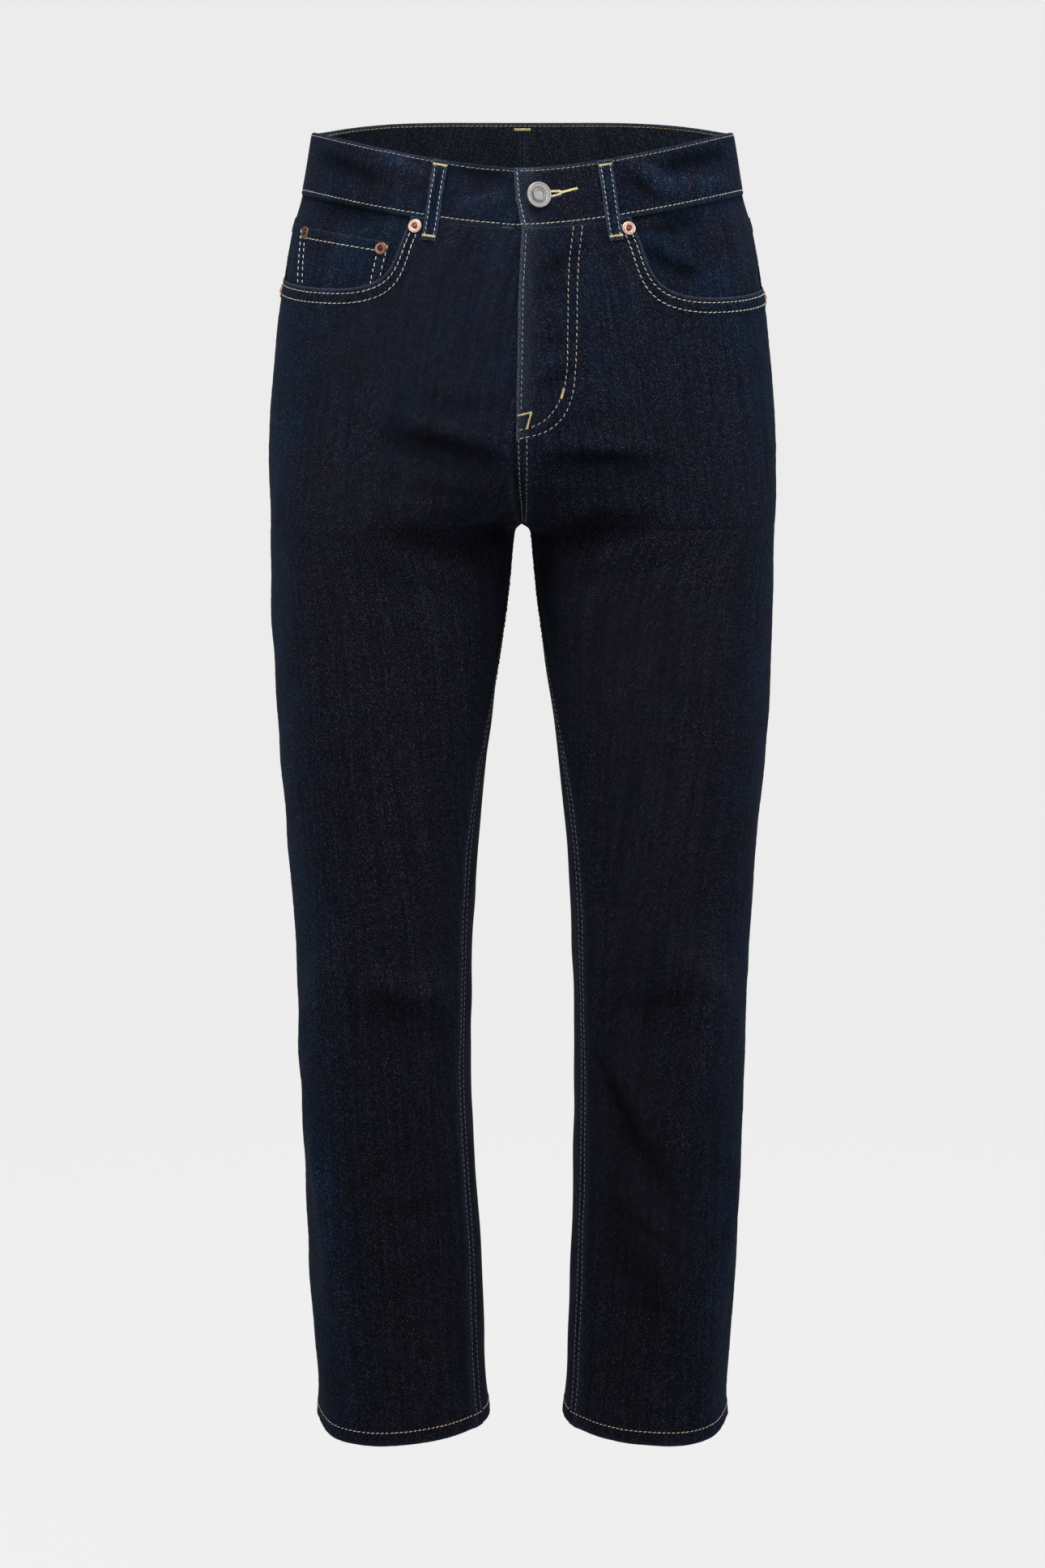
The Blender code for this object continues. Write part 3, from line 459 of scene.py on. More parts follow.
    def _sample(self, grids: tuple[Array, ...], u: Array, drop: Array) -> list[Array]:
        """What some grids over the lattice hold at some places."""
        height, width = grids[0].shape[:2]
        column = (np.asarray(u, float) + 1) * self.columns + self.spare_columns
        row = np.interp(drop, self.drops, np.arange(len(self.drops)))
        j = np.clip(np.floor(column), 0, width - 2).astype(int)
        i = np.clip(np.floor(row), 0, height - 2).astype(int)
        a, b = (column - j)[:, None], (row - i)[:, None]
        found = []
        for grid in grids:
            top = grid[i, j] * (1 - a) + grid[i, j + 1] * a
            low = grid[i + 1, j] * (1 - a) + grid[i + 1, j + 1] * a
            found.append(top * (1 - b) + low * b)
        return found

    def from_outseam(self, distance: float, drop: float, half: int = -1) -> Pair:
        """The place at a distance from the outseam, on the front (half -1) or the back (half 1)."""
        return half * distance / float(self.arc(half, drop)), drop

    def from_middle(self, distance: float, drop: float) -> Pair:
        """The place at a distance from the front's inner end. Under zero, it is past it."""
        return -1 + distance / float(self.arc(-1, drop)), drop


@dataclass
class Patch:
    """A stretch of cloth on one side of the garment, cut by its outline in (u, drop)."""

    side: int
    outline: Places
    holes: Sequence[Places] = ()


class Thread(Enum):
    """The colours of sewing thread, as linear red, green and blue."""

    CREAM = (0.42, 0.395, 0.33)
    PALE_YELLOW = (0.54, 0.50, 0.40)
    WHITISH = (0.37, 0.38, 0.38)
    CHALK = (0.66, 0.66, 0.66)
    DULL = (0.105, 0.108, 0.11)
    OLIVE = (0.23, 0.215, 0.175)
    TAN = (0.45, 0.355, 0.24)
    TAN_BROWN = (0.19, 0.125, 0.06)
    HONEY = (0.43, 0.37, 0.26)
    PURL = (0.62, 0.52, 0.28)
    GOLD = (0.42, 0.32, 0.15)


@dataclass
class Row:
    """A row of topstitching.

    Attributes:
        side: the side of the garment.
        path: its places (u, drop), close together.
        thread: the colour.
        pitch: from the start of one stitch to the next.
        share: how much of the pitch shows above the cloth.
        radius: half the thread's thickness.
        slant: how far each stitch leans across the row, in radians.
        inside: whether it is sewn on the inner face.
    """

    side: int
    path: Array
    thread: Thread = Thread.PALE_YELLOW
    pitch: float = 3.9 * MM
    share: float = 0.70
    radius: float = 0.36 * MM
    slant: float = 0.16
    inside: bool = False


@dataclass
class Bartack:
    """A dense bar of short stitches across a short line.

    Attributes:
        side: the side of the garment.
        ends: the line's two ends.
        width: how wide the bar is.
        thread: the colour.
        inside: whether it is sewn on the inner face.
    """

    side: int
    ends: Places
    width: float = 2.0 * MM
    thread: Thread = Thread.GOLD
    inside: bool = False


def dense(form: JeansForm, places: Places, step: float = 1.5 * MM, closed: bool = False) -> Array:
    """Adds places between the corners of a path.

    Args:
        form: the form that the places lie on.
        places: the corners (u, drop).
        step: the longest stretch left between two places.
        closed: whether the path runs back to its start.

    Returns:
        The places, one in each row.
    """
    corners = np.array(places, float)
    if closed:
        corners = np.concatenate([corners, corners[:1]])
    flat = form.to_flat(corners)
    runs = []
    for (start, end), (a, b) in zip(zip(corners, corners[1:]), zip(flat, flat[1:])):
        count = max(1, math.ceil(math.dist(a, b) / step - 1e-6))
        runs.append(start + (end - start) * (np.arange(count) / count)[:, None])
    if not closed:
        runs.append(corners[-1:])
    return np.concatenate(runs)


def inset(loop: Array, by: float) -> Array:
    """Points a little inside a closed flat outline, one beside each of its points."""
    before, after = loop - np.roll(loop, 1, axis=0), np.roll(loop, -1, axis=0) - loop
    area = float((loop[:, 0] * after[:, 1] - loop[:, 1] * after[:, 0]).sum())
    turn = 1.0 if area > 0 else -1.0
    sides = []
    for run in (before, after):
        normal = np.stack([-run[:, 1], run[:, 0]], axis=1) * turn
        sides.append(normal / np.maximum(np.linalg.norm(normal, axis=1, keepdims=True), 1e-12))
    middle = sides[0] + sides[1]
    square = np.maximum((middle**2).sum(axis=1, keepdims=True), 0.5)
    return loop + middle * (2 * by / square)


def within(points: Array, loop: Array) -> Array:
    """Whether each flat point lies inside a closed outline."""
    found = np.zeros(len(points), bool)
    for (x0, y0), (x1, y1) in zip(loop, np.roll(loop, -1, axis=0)):
        if y0 == y1:
            continue
        crosses = (y0 > points[:, 1]) != (y1 > points[:, 1])
        found ^= crosses & (points[:, 0] < x0 + (points[:, 1] - y0) / (y1 - y0) * (x1 - x0))
    return found


class Cutter:
    """Cuts a patch out of the flat plan as a close mesh of triangles.

    The mesh has extra points in rings inside the patch's edges, where its edge is rounded, and along its rows of
    stitches, where the thread draws the cloth in.
    """

    edge_step = 2.5 * MM
    edge_rings = (0.45 * MM, 1.0 * MM, 1.8 * MM, 3.0 * MM)
    beside_row = (-1.3 * MM, 0.0, 1.3 * MM)
    row_step = 2.4 * MM
    clear_share = 0.4  # how much of the spacing stays free beside those points

    def __init__(self, form: JeansForm, spacing: float) -> None:
        """Sets the cutter up for a form, with so much from point to point."""
        self.form = form
        self.spacing = spacing

    def _grid(self, low: Array, high: Array) -> Array:
        """A grid of points whose rows are staggered, over a flat box."""
        down = self.spacing * 0.87
        rows = np.arange(low[1] + down / 2, high[1], down)
        columns = np.arange(low[0], high[0] + self.spacing, self.spacing)
        x = columns[None, :] + (np.arange(len(rows)) % 2)[:, None] * self.spacing / 2
        return np.stack([x, np.broadcast_to(rows[:, None], x.shape)], axis=2).reshape(-1, 2)

    def _beside(self, row: Array) -> Array:
        """Flat points on a row of stitches and a little to each side of it."""
        along = np.gradient(row, axis=0)
        across = np.stack([-along[:, 1], along[:, 0]], axis=1)
        across /= np.maximum(np.linalg.norm(across, axis=1, keepdims=True), 1e-12)
        return np.concatenate([row + across * away for away in self.beside_row])

    def cut(self, patch: Patch, rows: list[Array]) -> tuple[Array, Array, Array]:
        """Cuts one patch.

        Args:
            patch: what to cut.
            rows: the rows of stitches on it, each as places (u, drop).

        Returns:
            The places of the mesh's points, how far each is from the patch's edge, and the triangles.
        """
        loops = [
            self.form.to_flat(dense(self.form, loop, FINE_STEP if k else self.edge_step, closed=True))
            for k, loop in enumerate((patch.outline, *patch.holes))
        ]
        edges = np.concatenate([segments_of(loop, closed=True) for loop in loops])
        corners, links = [], []
        for loop in loops:
            start = sum(len(done) for done in corners)
            corners.append(loop)
            links += [(start + k, start + (k + 1) % len(loop)) for k in range(len(loop))]
        everything = np.concatenate([*corners, *self._inner_points(loops, edges, rows)])
        vectors = [Vector(point) for point in everything.tolist()]
        flat, _, faces, *_ = delaunay_2d_cdt(vectors, links, [], 1, 1e-7, False)
        flat, faces = np.array([tuple(point) for point in flat]), np.array(faces)
        middles = flat[faces].mean(axis=1)
        kept = within(middles, loops[0])
        for hole in loops[1:]:
            kept &= ~within(middles, hole)
        used, faces = np.unique(faces[kept], return_inverse=True)
        flat = flat[used]
        return self.form.from_flat(flat), distance_to(flat, edges), faces.reshape(-1, 3)

    def _inner_points(self, loops: list[Array], edges: Array, rows: list[Array]) -> list[Array]:
        """The flat points inside a patch: in rings by its edges, along the rows, and on a grid between.

        Args:
            loops: the patch's outline and its holes.
            edges: their segments.
            rows: the rows of stitches, as places.

        Returns:
            The points in groups.
        """
        rings = []
        for by in self.edge_rings:
            ring = np.concatenate([inset(loop, -by if k else by) for k, loop in enumerate(loops)])
            rings.append(ring[distance_to(ring, edges) > 0.9 * by])
        points = [*rings]
        stitched = [self._beside(self.form.to_flat(dense(self.form, row, self.row_step))) for row in rows]
        if stitched:
            beside = np.concatenate(stitched)
            near = distance_to(beside, edges)
            points.append(beside[near > self.edge_rings[-1] * 0.6])
        flat_rows = [segments_of(self.form.to_flat(row)) for row in rows]
        grid = self._grid(loops[0].min(axis=0), loops[0].max(axis=0))
        grid = grid[within(grid, loops[0])]
        clear = self.clear_share * self.spacing
        grid = grid[distance_to(grid, edges) > self.edge_rings[-1] + clear]
        if flat_rows:
            grid = grid[distance_to(grid, np.concatenate(flat_rows)) > self.beside_row[-1] + clear]
        return [*points, grid]


def mesh_of(name: str, points: Array, faces: Array) -> Mesh:
    """A mesh of triangles.

    Args:
        name: the mesh's name.
        points: its points, one in each row.
        faces: its triangles, as numbers of points.

    Returns:
        The mesh, drawn smooth.
    """
    mesh = bpy.data.meshes.new(name)
    mesh.vertices.add(len(points))
    mesh.vertices.foreach_set("co", np.ascontiguousarray(points, np.float32).ravel())
    mesh.loops.add(3 * len(faces))
    mesh.loops.foreach_set("vertex_index", np.ascontiguousarray(faces, np.int32).ravel())
    mesh.polygons.add(len(faces))
    mesh.polygons.foreach_set("loop_start", np.arange(0, 3 * len(faces), 3, dtype=np.int32))
    mesh.update(calc_edges=True)
    mesh.shade_smooth()
    return mesh


def show(mesh: Mesh) -> Piece:
    """Puts a mesh in the scene as a piece of its own, under its mesh's name."""
    made = bpy.data.objects.new(mesh.name, mesh)
    bpy.context.scene.collection.objects.link(made)
    return made


def set_attribute(mesh: Mesh, name: str, values: Array) -> None:
    """Gives each point of a mesh a number, or a colour where there are four for each."""
    kind = "FLOAT" if values.ndim == 1 else "FLOAT_COLOR"
    layer = mesh.attributes.new(name, kind, "POINT")
    layer.data.foreach_set("value" if kind == "FLOAT" else "color", values.astype(np.float32).ravel())


class Graph:
    """A material's nodes, added one after another."""

    def __init__(self, name: str) -> None:
        """Starts a material of that name, with its shader."""
        self.material = bpy.data.materials.new(name)
        self.material.use_nodes = True
        self.tree = self.material.node_tree
        self.shader = self.tree.nodes["Principled BSDF"]

    def node(self, kind: str, inputs: dict | None = None, out: int | str = 0, **settings: object) -> Socket:
        """Adds a node.

        Args:
            kind: the node's type, without ShaderNode.
            inputs: what goes into its sockets, by name or number: another node's socket, or a value.
            out: which of its outputs to hand back.
            settings: its properties.

        Returns:
            The output's socket.
        """
        made = self.tree.nodes.new("ShaderNode" + kind)
        for name, value in settings.items():
            setattr(made, name, value)
        for name, value in (inputs or {}).items():
            self.feed(made.inputs[name], value)
        return made.outputs[out]

    def feed(self, socket: Socket, value: object) -> None:
        """Links a socket to another one, or sets its value."""
        if isinstance(value, Socket):
            self.tree.links.new(value, socket)
        else:
            socket.default_value = value

    def math(self, operation: str, first: object, second: object = 0.0, third: object = 0.0) -> Socket:
        """A sum on numbers."""
        return self.node("Math", {0: first, 1: second, 2: third}, operation=operation)

    def times(self, first: object, second: object) -> Socket:
        """One number times another."""
        return self.math("MULTIPLY", first, second)

    def attribute(self, name: str, out: str = "Fac") -> Socket:
        """What the mesh's points hold under a name."""
        return self.node("Attribute", attribute_name=name, out=out)

    def noise(self, vector: object, scale: float, detail: float = 2.0, rough: float = 0.5) -> Socket:
        """Cloudy numbers round a half."""
        inputs = {"Vector": vector, "Scale": scale, "Detail": detail, "Roughness": rough}
        return self.node("TexNoise", inputs)

    def yarns(self, grain: object, across: float, down: float, detail: float = 2.0) -> Socket:
        """Cloudy numbers drawn out along the cloth, so many clouds to the metre across it and down it."""
        vector = self.node("VectorMath", {0: grain, 1: (across, down, 0.0)}, operation="MULTIPLY")
        return self.noise(vector, 1.0, detail, 0.6)

    def spread(
        self, value: object, low: float, high: float, to_low: float = 0.0, to_high: float = 1.0
    ) -> Socket:
        """Numbers between low and high brought to another range, softly."""
        inputs = {"Value": value, "From Min": low, "From Max": high, "To Min": to_low, "To Max": to_high}
        return self.node("MapRange", inputs, interpolation_type="SMOOTHSTEP")

    def mix(self, factor: object, first: object, second: object, blend: str = "MIX") -> Socket:
        """Two colours mixed."""
        made = self.tree.nodes.new("ShaderNodeMix")
        made.data_type = "RGBA"
        made.blend_type = blend
        for number, value in ((0, factor), (6, first), (7, second)):
            self.feed(made.inputs[number], (*value, 1.0) if isinstance(value, tuple) and len(value) == 3 else value)
        return made.outputs[2]

    def shaded(self, colour: object, number: object) -> Socket:
        """A colour times a number."""
        return self.mix(1.0, colour, self.node("CombineColor", {k: number for k in range(3)}), "MULTIPLY")

    def bump(self, height: object, distance: float, strength: float = 1.0) -> None:
        """Feeds a height into the shader's normal."""
        inputs = {"Height": height, "Distance": distance, "Strength": strength}
        self.feed(self.shader.inputs["Normal"], self.node("Bump", inputs))

    def surface(self, **values: object) -> None:
        """Sets the shader's own sockets, whose names are given with _ for a space."""
        for name, value in values.items():
            self.feed(self.shader.inputs[name.replace("_", " ")], value)


@dataclass(frozen=True)
class DenimFinish:
    """Indigo twill, worn at its edges.

    Attributes:
        name: the material's name.
        body: the colour of the warp on the legs.
        faded: its colour where it is faded.
        weft: the colour of the flecks of weft between the warp threads.
        worn: the colour of rubbed edges.
        weft_share: how much of the weft shows.
        weft_faded: the colour of the weft where the cloth is faded.
        warp_pitch: from one warp thread to the next.
        weft_pitch: from one weft thread to the next.
    """

    name: str
    body: Triple = (0.0023, 0.0018, 0.0040)
    faded: Triple = (0.0013, 0.0040, 0.0116)
    weft: Triple = (0.106, 0.096, 0.118)
    worn: Triple = (0.066, 0.086, 0.118)
    weft_share: float = 1.0
    weft_faded: Triple = (0.072, 0.098, 0.132)
    warp_pitch: float = 0.385 * MM
    weft_pitch: float = 0.5125 * MM

    def make(self) -> Material:
        """Builds the material, on the cloth's Grain map and its wear and fade."""
        graph = Graph(self.name)
        grain = graph.node("UVMap", uv_map="Grain")
        place = graph.node("TexCoord", out="Object")
        x = graph.node("SeparateXYZ", {0: grain})
        y = x.node.outputs[1]
        # Every fourth crossing shows the weft, one step further along on each warp thread
        warp, weft = graph.math("DIVIDE", x, self.warp_pitch), graph.math("DIVIDE", y, self.weft_pitch)
        end, pick = graph.math("FLOOR", warp), graph.math("FLOOR", weft)
        step = graph.math("FLOORED_MODULO", graph.math("SUBTRACT", end, pick), 4.0)
        crossing = graph.math("LESS_THAN", step, 0.5)
        cell = graph.node("CombineXYZ", {0: end, 1: pick})
        rare = graph.math("POWER", graph.node("TexWhiteNoise", {"Vector": cell}, noise_dimensions="2D"), 3.0)
        # Thick and thin yarns run down and across the cloth
        slub, bar = graph.yarns(grain, 1500.0, 34.0), graph.yarns(grain, 120.0, 1500.0)
        yarns = graph.times(graph.spread(slub, 0.25, 0.75, 0.45, 1.6), graph.spread(bar, 0.3, 0.7, 0.75, 1.25))
        # The warp's colour is faded in clouds, and towards the outseams the fade also holds a painted highlight
        fade = graph.attribute("fade")
        clouds = graph.math("MULTIPLY_ADD", graph.spread(graph.noise(place, 30.0, 4.0, 0.62), 0.36, 0.66), 0.95, 0.50)
        patchy = graph.math("MULTIPLY_ADD", fade, clouds, graph.times(clouds, 0.08))
        body = graph.shaded(graph.mix(graph.times(patchy, 0.8), self.body, self.faded), yarns)
        # The weft shows unevenly in clumps and streaks, and lint gathers in specks
        clump = graph.spread(graph.noise(grain, 1200.0, 2.0, 0.75), 0.41, 0.68, 0.08, 2.6)
        streak = graph.spread(graph.yarns(grain, 260.0, 7.0, 3.0), 0.32, 0.70, 0.60, 1.42)
        loose = graph.times(graph.times(clump, graph.math("MULTIPLY_ADD", rare, 0.8, 0.11)), streak)
        loose = graph.times(loose, graph.math("MULTIPLY_ADD", patchy, 0.12, 0.56))
        speck = graph.spread(graph.noise(grain, 1150.0, 1.0, 0.5), 0.66, 0.80)
        flecks = graph.math("MAXIMUM", graph.times(crossing, loose), graph.times(speck, 0.34))
        share = graph.times(flecks, self.weft_share)
        woven = graph.mix(share, body, graph.mix(patchy, self.weft, self.weft_faded))
        # Edges are rubbed; painted shade darkens the folds and the lower legs, and painted highlight lightens the
        # ridges of the folds
        rubbed = graph.math("ADD", graph.noise(grain, 900.0, 3.0, 0.7), graph.times(crossing, 0.12))
        rub = graph.times(graph.attribute("wear"), graph.spread(rubbed, 0.43, 0.69, 0.03, 1.0))
        level = graph.node("SeparateXYZ", {0: place}).node.outputs[2]
        # Painted shade in the creases and painted highlight on the ridges, from how deep the folds press in
        crease_shade = graph.spread(graph.attribute("crease_shade"), -1.0, 1.0, 1.55, 0.40)
        # Painted shade: the cloth darkens towards the hem, by height
        shade = graph.times(crease_shade, graph.spread(level, -0.90, -0.30, 0.80, 1.0))
        colour = graph.shaded(graph.mix(rub, woven, self.worn), shade)
        graph.surface(Base_Color=colour, Roughness=0.9, Sheen_Weight=0.014, Sheen_Roughness=0.35)
        graph.surface(Sheen_Tint=(0.40, 0.60, 1.0, 1.0), Specular_IOR_Level=0.03)
        ridge = graph.math("SINE", graph.times(graph.math("SUBTRACT", warp, weft), math.tau / 4))
        height = graph.math("MULTIPLY_ADD", slub, 0.8, graph.times(ridge, 0.45))
        graph.bump(graph.math("MULTIPLY_ADD", graph.noise(grain, 2600.0, 1.0), 0.5, height), 0.22 * MM)
        return graph.material


@dataclass(frozen=True)
class ThreadFinish:
    """Sewing thread, in the colour that each stitch has."""

    name: str = "thread"

    def make(self) -> Material:
        """Builds the material, on the stitches' dye."""
        graph = Graph(self.name)
        place = graph.node("TexCoord", out="Object")
        soiled = graph.spread(graph.noise(place, 260.0, 3.0), 0.3, 0.7, 0.72, 1.08)
        graph.surface(Base_Color=graph.shaded(graph.attribute("dye", "Color"), soiled))
        graph.surface(Roughness=0.62, Sheen_Weight=0.2, Specular_IOR_Level=0.35)
        graph.bump(graph.noise(place, 3200.0, 2.0), 0.10 * MM)
        return graph.material


@dataclass(frozen=True)
class MetalFinish:
    """Cast or pressed metal with tarnish in its hollows.

    Attributes:
        name: the material's name.
        colour: the metal's own colour.
        tarnish: the colour in its hollows.
        roughness: how rough it is on average.
        metallic: how metallic it is.
    """

    name: str
    colour: Triple
    tarnish: Triple
    roughness: float
    metallic: float = 0.9

    def make(self) -> Material:
        """Builds the material, on the piece's hollow."""
        graph = Graph(self.name)
        place = graph.node("TexCoord", out="Object")
        speckle = graph.noise(place, 900.0, 3.0, 0.6)
        dark = graph.math("ADD", graph.attribute("hollow"), graph.spread(speckle, 0.45, 0.8, 0.0, 0.5))
        colour = graph.mix(graph.spread(dark, 0.0, 1.0), self.colour, self.tarnish)
        graph.surface(Base_Color=colour, Metallic=self.metallic)
        graph.surface(Roughness=graph.spread(speckle, 0.3, 0.7, self.roughness - 0.08, self.roughness + 0.14))
        graph.bump(graph.noise(place, 1600.0, 2.0), 0.05 * MM)
        return graph.material


@dataclass(frozen=True)
class StageFinish:
    """Pale matt paper."""

    name: str = "paper"
    colour: Triple = (0.03, 0.03, 0.03)
    shade: Triple = (0.027, 0.027, 0.027)
    glow: float = 0.825

    def make(self) -> Material:
        """Builds the material, lit evenly from behind so that it stays as pale all over."""
        graph = Graph(self.name)
        place = graph.node("TexCoord", out="Object")
        tone = graph.spread(graph.noise(place, 1.2), 0.3, 0.7, 0.9, 1.0)
        colour = graph.mix(tone, self.shade, self.colour)
        graph.surface(Base_Color=colour, Roughness=0.95, Specular_IOR_Level=0.0)
        graph.surface(Emission_Color=(1.0, 1.0, 0.997, 1.0), Emission_Strength=self.glow)
        return graph.material


class Bench:
    """A hard piece on the bench: a primitive that is shaped in edit mode by its faces."""

    def __init__(self, name: str, primitive: Callable, **sizes: object) -> None:
        """Puts a primitive on the bench.

        Args:
            name: the piece's name.
            primitive: the operator that adds the primitive.
            sizes: its size and place.
        """
        bpy.ops.object.select_all(action="DESELECT")
        primitive(**sizes)
        self.piece = bpy.context.view_layer.objects.active
        self.piece.name = self.piece.data.name = name

    def pick(self, test: Callable[[Vector, Vector], bool], kind: str = "FACE") -> None:
        """Selects faces or edges by a test.

        Args:
            test: what a face's middle and normal, or an edge's two ends, have to pass.
            kind: FACE or EDGE.
        """
        mesh = self.piece.data
        bpy.ops.object.mode_set(mode="EDIT")
        bpy.ops.mesh.select_mode(type=kind)
        bpy.ops.mesh.select_all(action="DESELECT")
        bpy.ops.object.mode_set(mode="OBJECT")
        if kind == "FACE":
            for face in mesh.polygons:
                face.select = test(face.center, face.normal)
        else:
            for edge in mesh.edges:
                edge.select = test(*(mesh.vertices[end].co for end in edge.vertices))
        bpy.ops.object.mode_set(mode="EDIT")

    def extrude(self, by: Triple, size: float = 1.0) -> None:
        """Draws the selected faces out, and sizes their far end about its middle."""
        bpy.ops.mesh.extrude_region_move(TRANSFORM_OT_translate={"value": by})
        if size != 1.0:
            self.size(size)

    def size(self, by: float) -> None:
        """Sizes the selected faces about their middle."""
        bpy.ops.object.mode_set(mode="OBJECT")
        middle = sum((face.center for face in self.piece.data.polygons if face.select), Vector())
        middle /= max(1, sum(face.select for face in self.piece.data.polygons))
        bpy.ops.object.mode_set(mode="EDIT")
        bpy.ops.transform.resize(value=(by, by, by), center_override=tuple(middle))

    def ring(self, inwards: float, up: float) -> None:
        """Insets the selected face, and moves what is left of it up or down."""
        bpy.ops.mesh.inset(thickness=inwards, depth=0.0)
        bpy.ops.transform.translate(value=(0.0, 0.0, up))

    def finish(self) -> Piece:
        """Takes the piece off the bench."""
        bpy.ops.object.mode_set(mode="OBJECT")
        bpy.ops.object.select_all(action="DESELECT")
        return self.piece


def frames_of(points: Array, normals: Array) -> tuple[Array, Array, Array]:
    """Directions along, across and off a line on the cloth, at each of its points."""
    along = np.gradient(points, axis=0)
    along -= normals * (along * normals).sum(axis=1, keepdims=True)
    along /= np.maximum(np.linalg.norm(along, axis=1, keepdims=True), 1e-12)
    return along, np.cross(normals, along), normals


def at_places(wanted: Array, known: Array, rows: Array) -> Array:
    """Rows of three numbers at wanted places, between those at known ones."""
    return np.stack([np.interp(wanted, known, rows[:, c]) for c in range(3)], axis=1)


class Stitcher:
    """Sews rows and bartacks with copies of one stitch, joined into one mesh for each piece."""

    stitch_sides = 5
    bar_pitch = 0.52 * MM
    bar_radius = 0.34 * MM

    def __init__(self) -> None:
        """Makes the one stitch that all others are copies of."""
        self.points, self.faces = self._one_stitch()

    def _one_stitch(self) -> tuple[Array, Array]:
        """One stitch, along X with its top at +Z: a bar whose ends taper and dip into the cloth."""
        sizes = {"vertices": self.stitch_sides, "radius": 1.0, "depth": 1.24, "rotation": (0.0, math.pi / 2, 0.0)}
        bench = Bench("stitch", bpy.ops.mesh.primitive_cylinder_add, **sizes)
        bpy.ops.object.transform_apply(location=False, rotation=True, scale=False)
        for way in (-1, 1):
            bench.pick(lambda middle, normal, way=way: normal.x * way > 0.9)
            bench.extrude((0.36 * way, 0.0, -0.55), 0.62)
        piece = bench.finish()
        mesh = piece.data
        mesh.calc_loop_triangles()
        points = np.array([tuple(vertex.co) for vertex in mesh.vertices])
        faces = np.array([tuple(triangle.vertices) for triangle in mesh.loop_triangles])
        bpy.data.objects.remove(piece)
        bpy.data.meshes.remove(mesh)
        return points, faces

    def _copies(self, middles: Array, frames: tuple, half_length: Array, radius: float) -> Array:
        """The points of many stitches."""
        along, across, off = frames
        x, y, z = self.points[:, 0] / 0.98, self.points[:, 1], self.points[:, 2]
        return (
            middles[:, None, :]
            + along[:, None, :] * (x[:, None] * half_length[:, None, None])
            + across[:, None, :] * (y[:, None] * radius)
            + off[:, None, :] * (z[:, None] * radius)
        )

    def row(self, points: Array, normals: Array, row: Row, draw: np.random.Generator) -> Array:
        """The points of a row's stitches.

        Args:
            points: the row's line, close together, at the height of the thread's middle.
            normals: the directions off the cloth there.
            row: how it is sewn.
            draw: where its unevenness comes from.

        Returns:
            The points of each stitch.
        """
        along = np.concatenate([[0.0], np.cumsum(np.linalg.norm(np.diff(points, axis=0), axis=1))])
        count = max(1, int(along[-1] / row.pitch))
        middles = (np.arange(count) + 0.5) * along[-1] / count + draw.normal(0, 0.03, count) * row.pitch
        directions = frames_of(points, normals)
        centre = at_places(middles, along, points)
        line, _, off = (at_places(middles, along, direction) for direction in directions)
        off /= np.linalg.norm(off, axis=1, keepdims=True)
        line /= np.linalg.norm(line, axis=1, keepdims=True)
        across = np.cross(off, line)
        lean = (row.slant + draw.normal(0, 0.04, count))[:, None]
        turned = line * np.cos(lean) + across * np.sin(lean)
        half = row.pitch * row.share / 2 * (1 + draw.normal(0, 0.05, count))
        return self._copies(centre, (turned, np.cross(off, turned), off), half, row.radius)

    def bar(self, points: Array, normals: Array, bartack: Bartack, draw: np.random.Generator) -> Array:
        """The points of a bartack's stitches, which lie across its line."""
        length = float(np.linalg.norm(np.diff(points, axis=0), axis=1).sum())
        count = max(4, round(length / self.bar_pitch))
        share, numbers = np.linspace(0, len(points) - 1, count), np.arange(len(points))
        centre = at_places(share, numbers, points)
        line, across, off = frames_of(centre, at_places(share, numbers, normals))
        lean = (0.12 * (-1.0) ** np.arange(count))[:, None]
        turned = across * np.cos(lean) + line * np.sin(lean)
        half = bartack.width / 2 * (1 + draw.normal(0, 0.07, count))
        centre = centre + off * draw.normal(0, 0.04 * MM, count)[:, None]
        return self._copies(centre, (turned, np.cross(off, turned), off), half, self.bar_radius)

    def join(self, name: str, groups: list[tuple[Array, Thread]], draw: np.random.Generator) -> Piece:
        """Joins groups of stitches into one piece, each stitch dyed a little differently."""
        points, dyes = [], []
        for stitches, thread in groups:
            points.append(stitches.reshape(-1, 3))
            shade = 1 + draw.normal(0, 0.07, len(stitches))
            colour = np.clip(np.array(thread.value)[None] * shade[:, None], 0, 1)
            dye = np.concatenate([colour, np.ones((len(colour), 1))], axis=1)
            dyes.append(np.repeat(dye, len(self.points), axis=0))
        everything = np.concatenate(points)
        count = len(everything) // len(self.points)
        faces = (self.faces[None] + np.arange(count)[:, None, None] * len(self.points)).reshape(-1, 3)
        mesh = mesh_of(name, everything, faces)
        set_attribute(mesh, "dye", np.concatenate(dyes))
        return show(mesh)


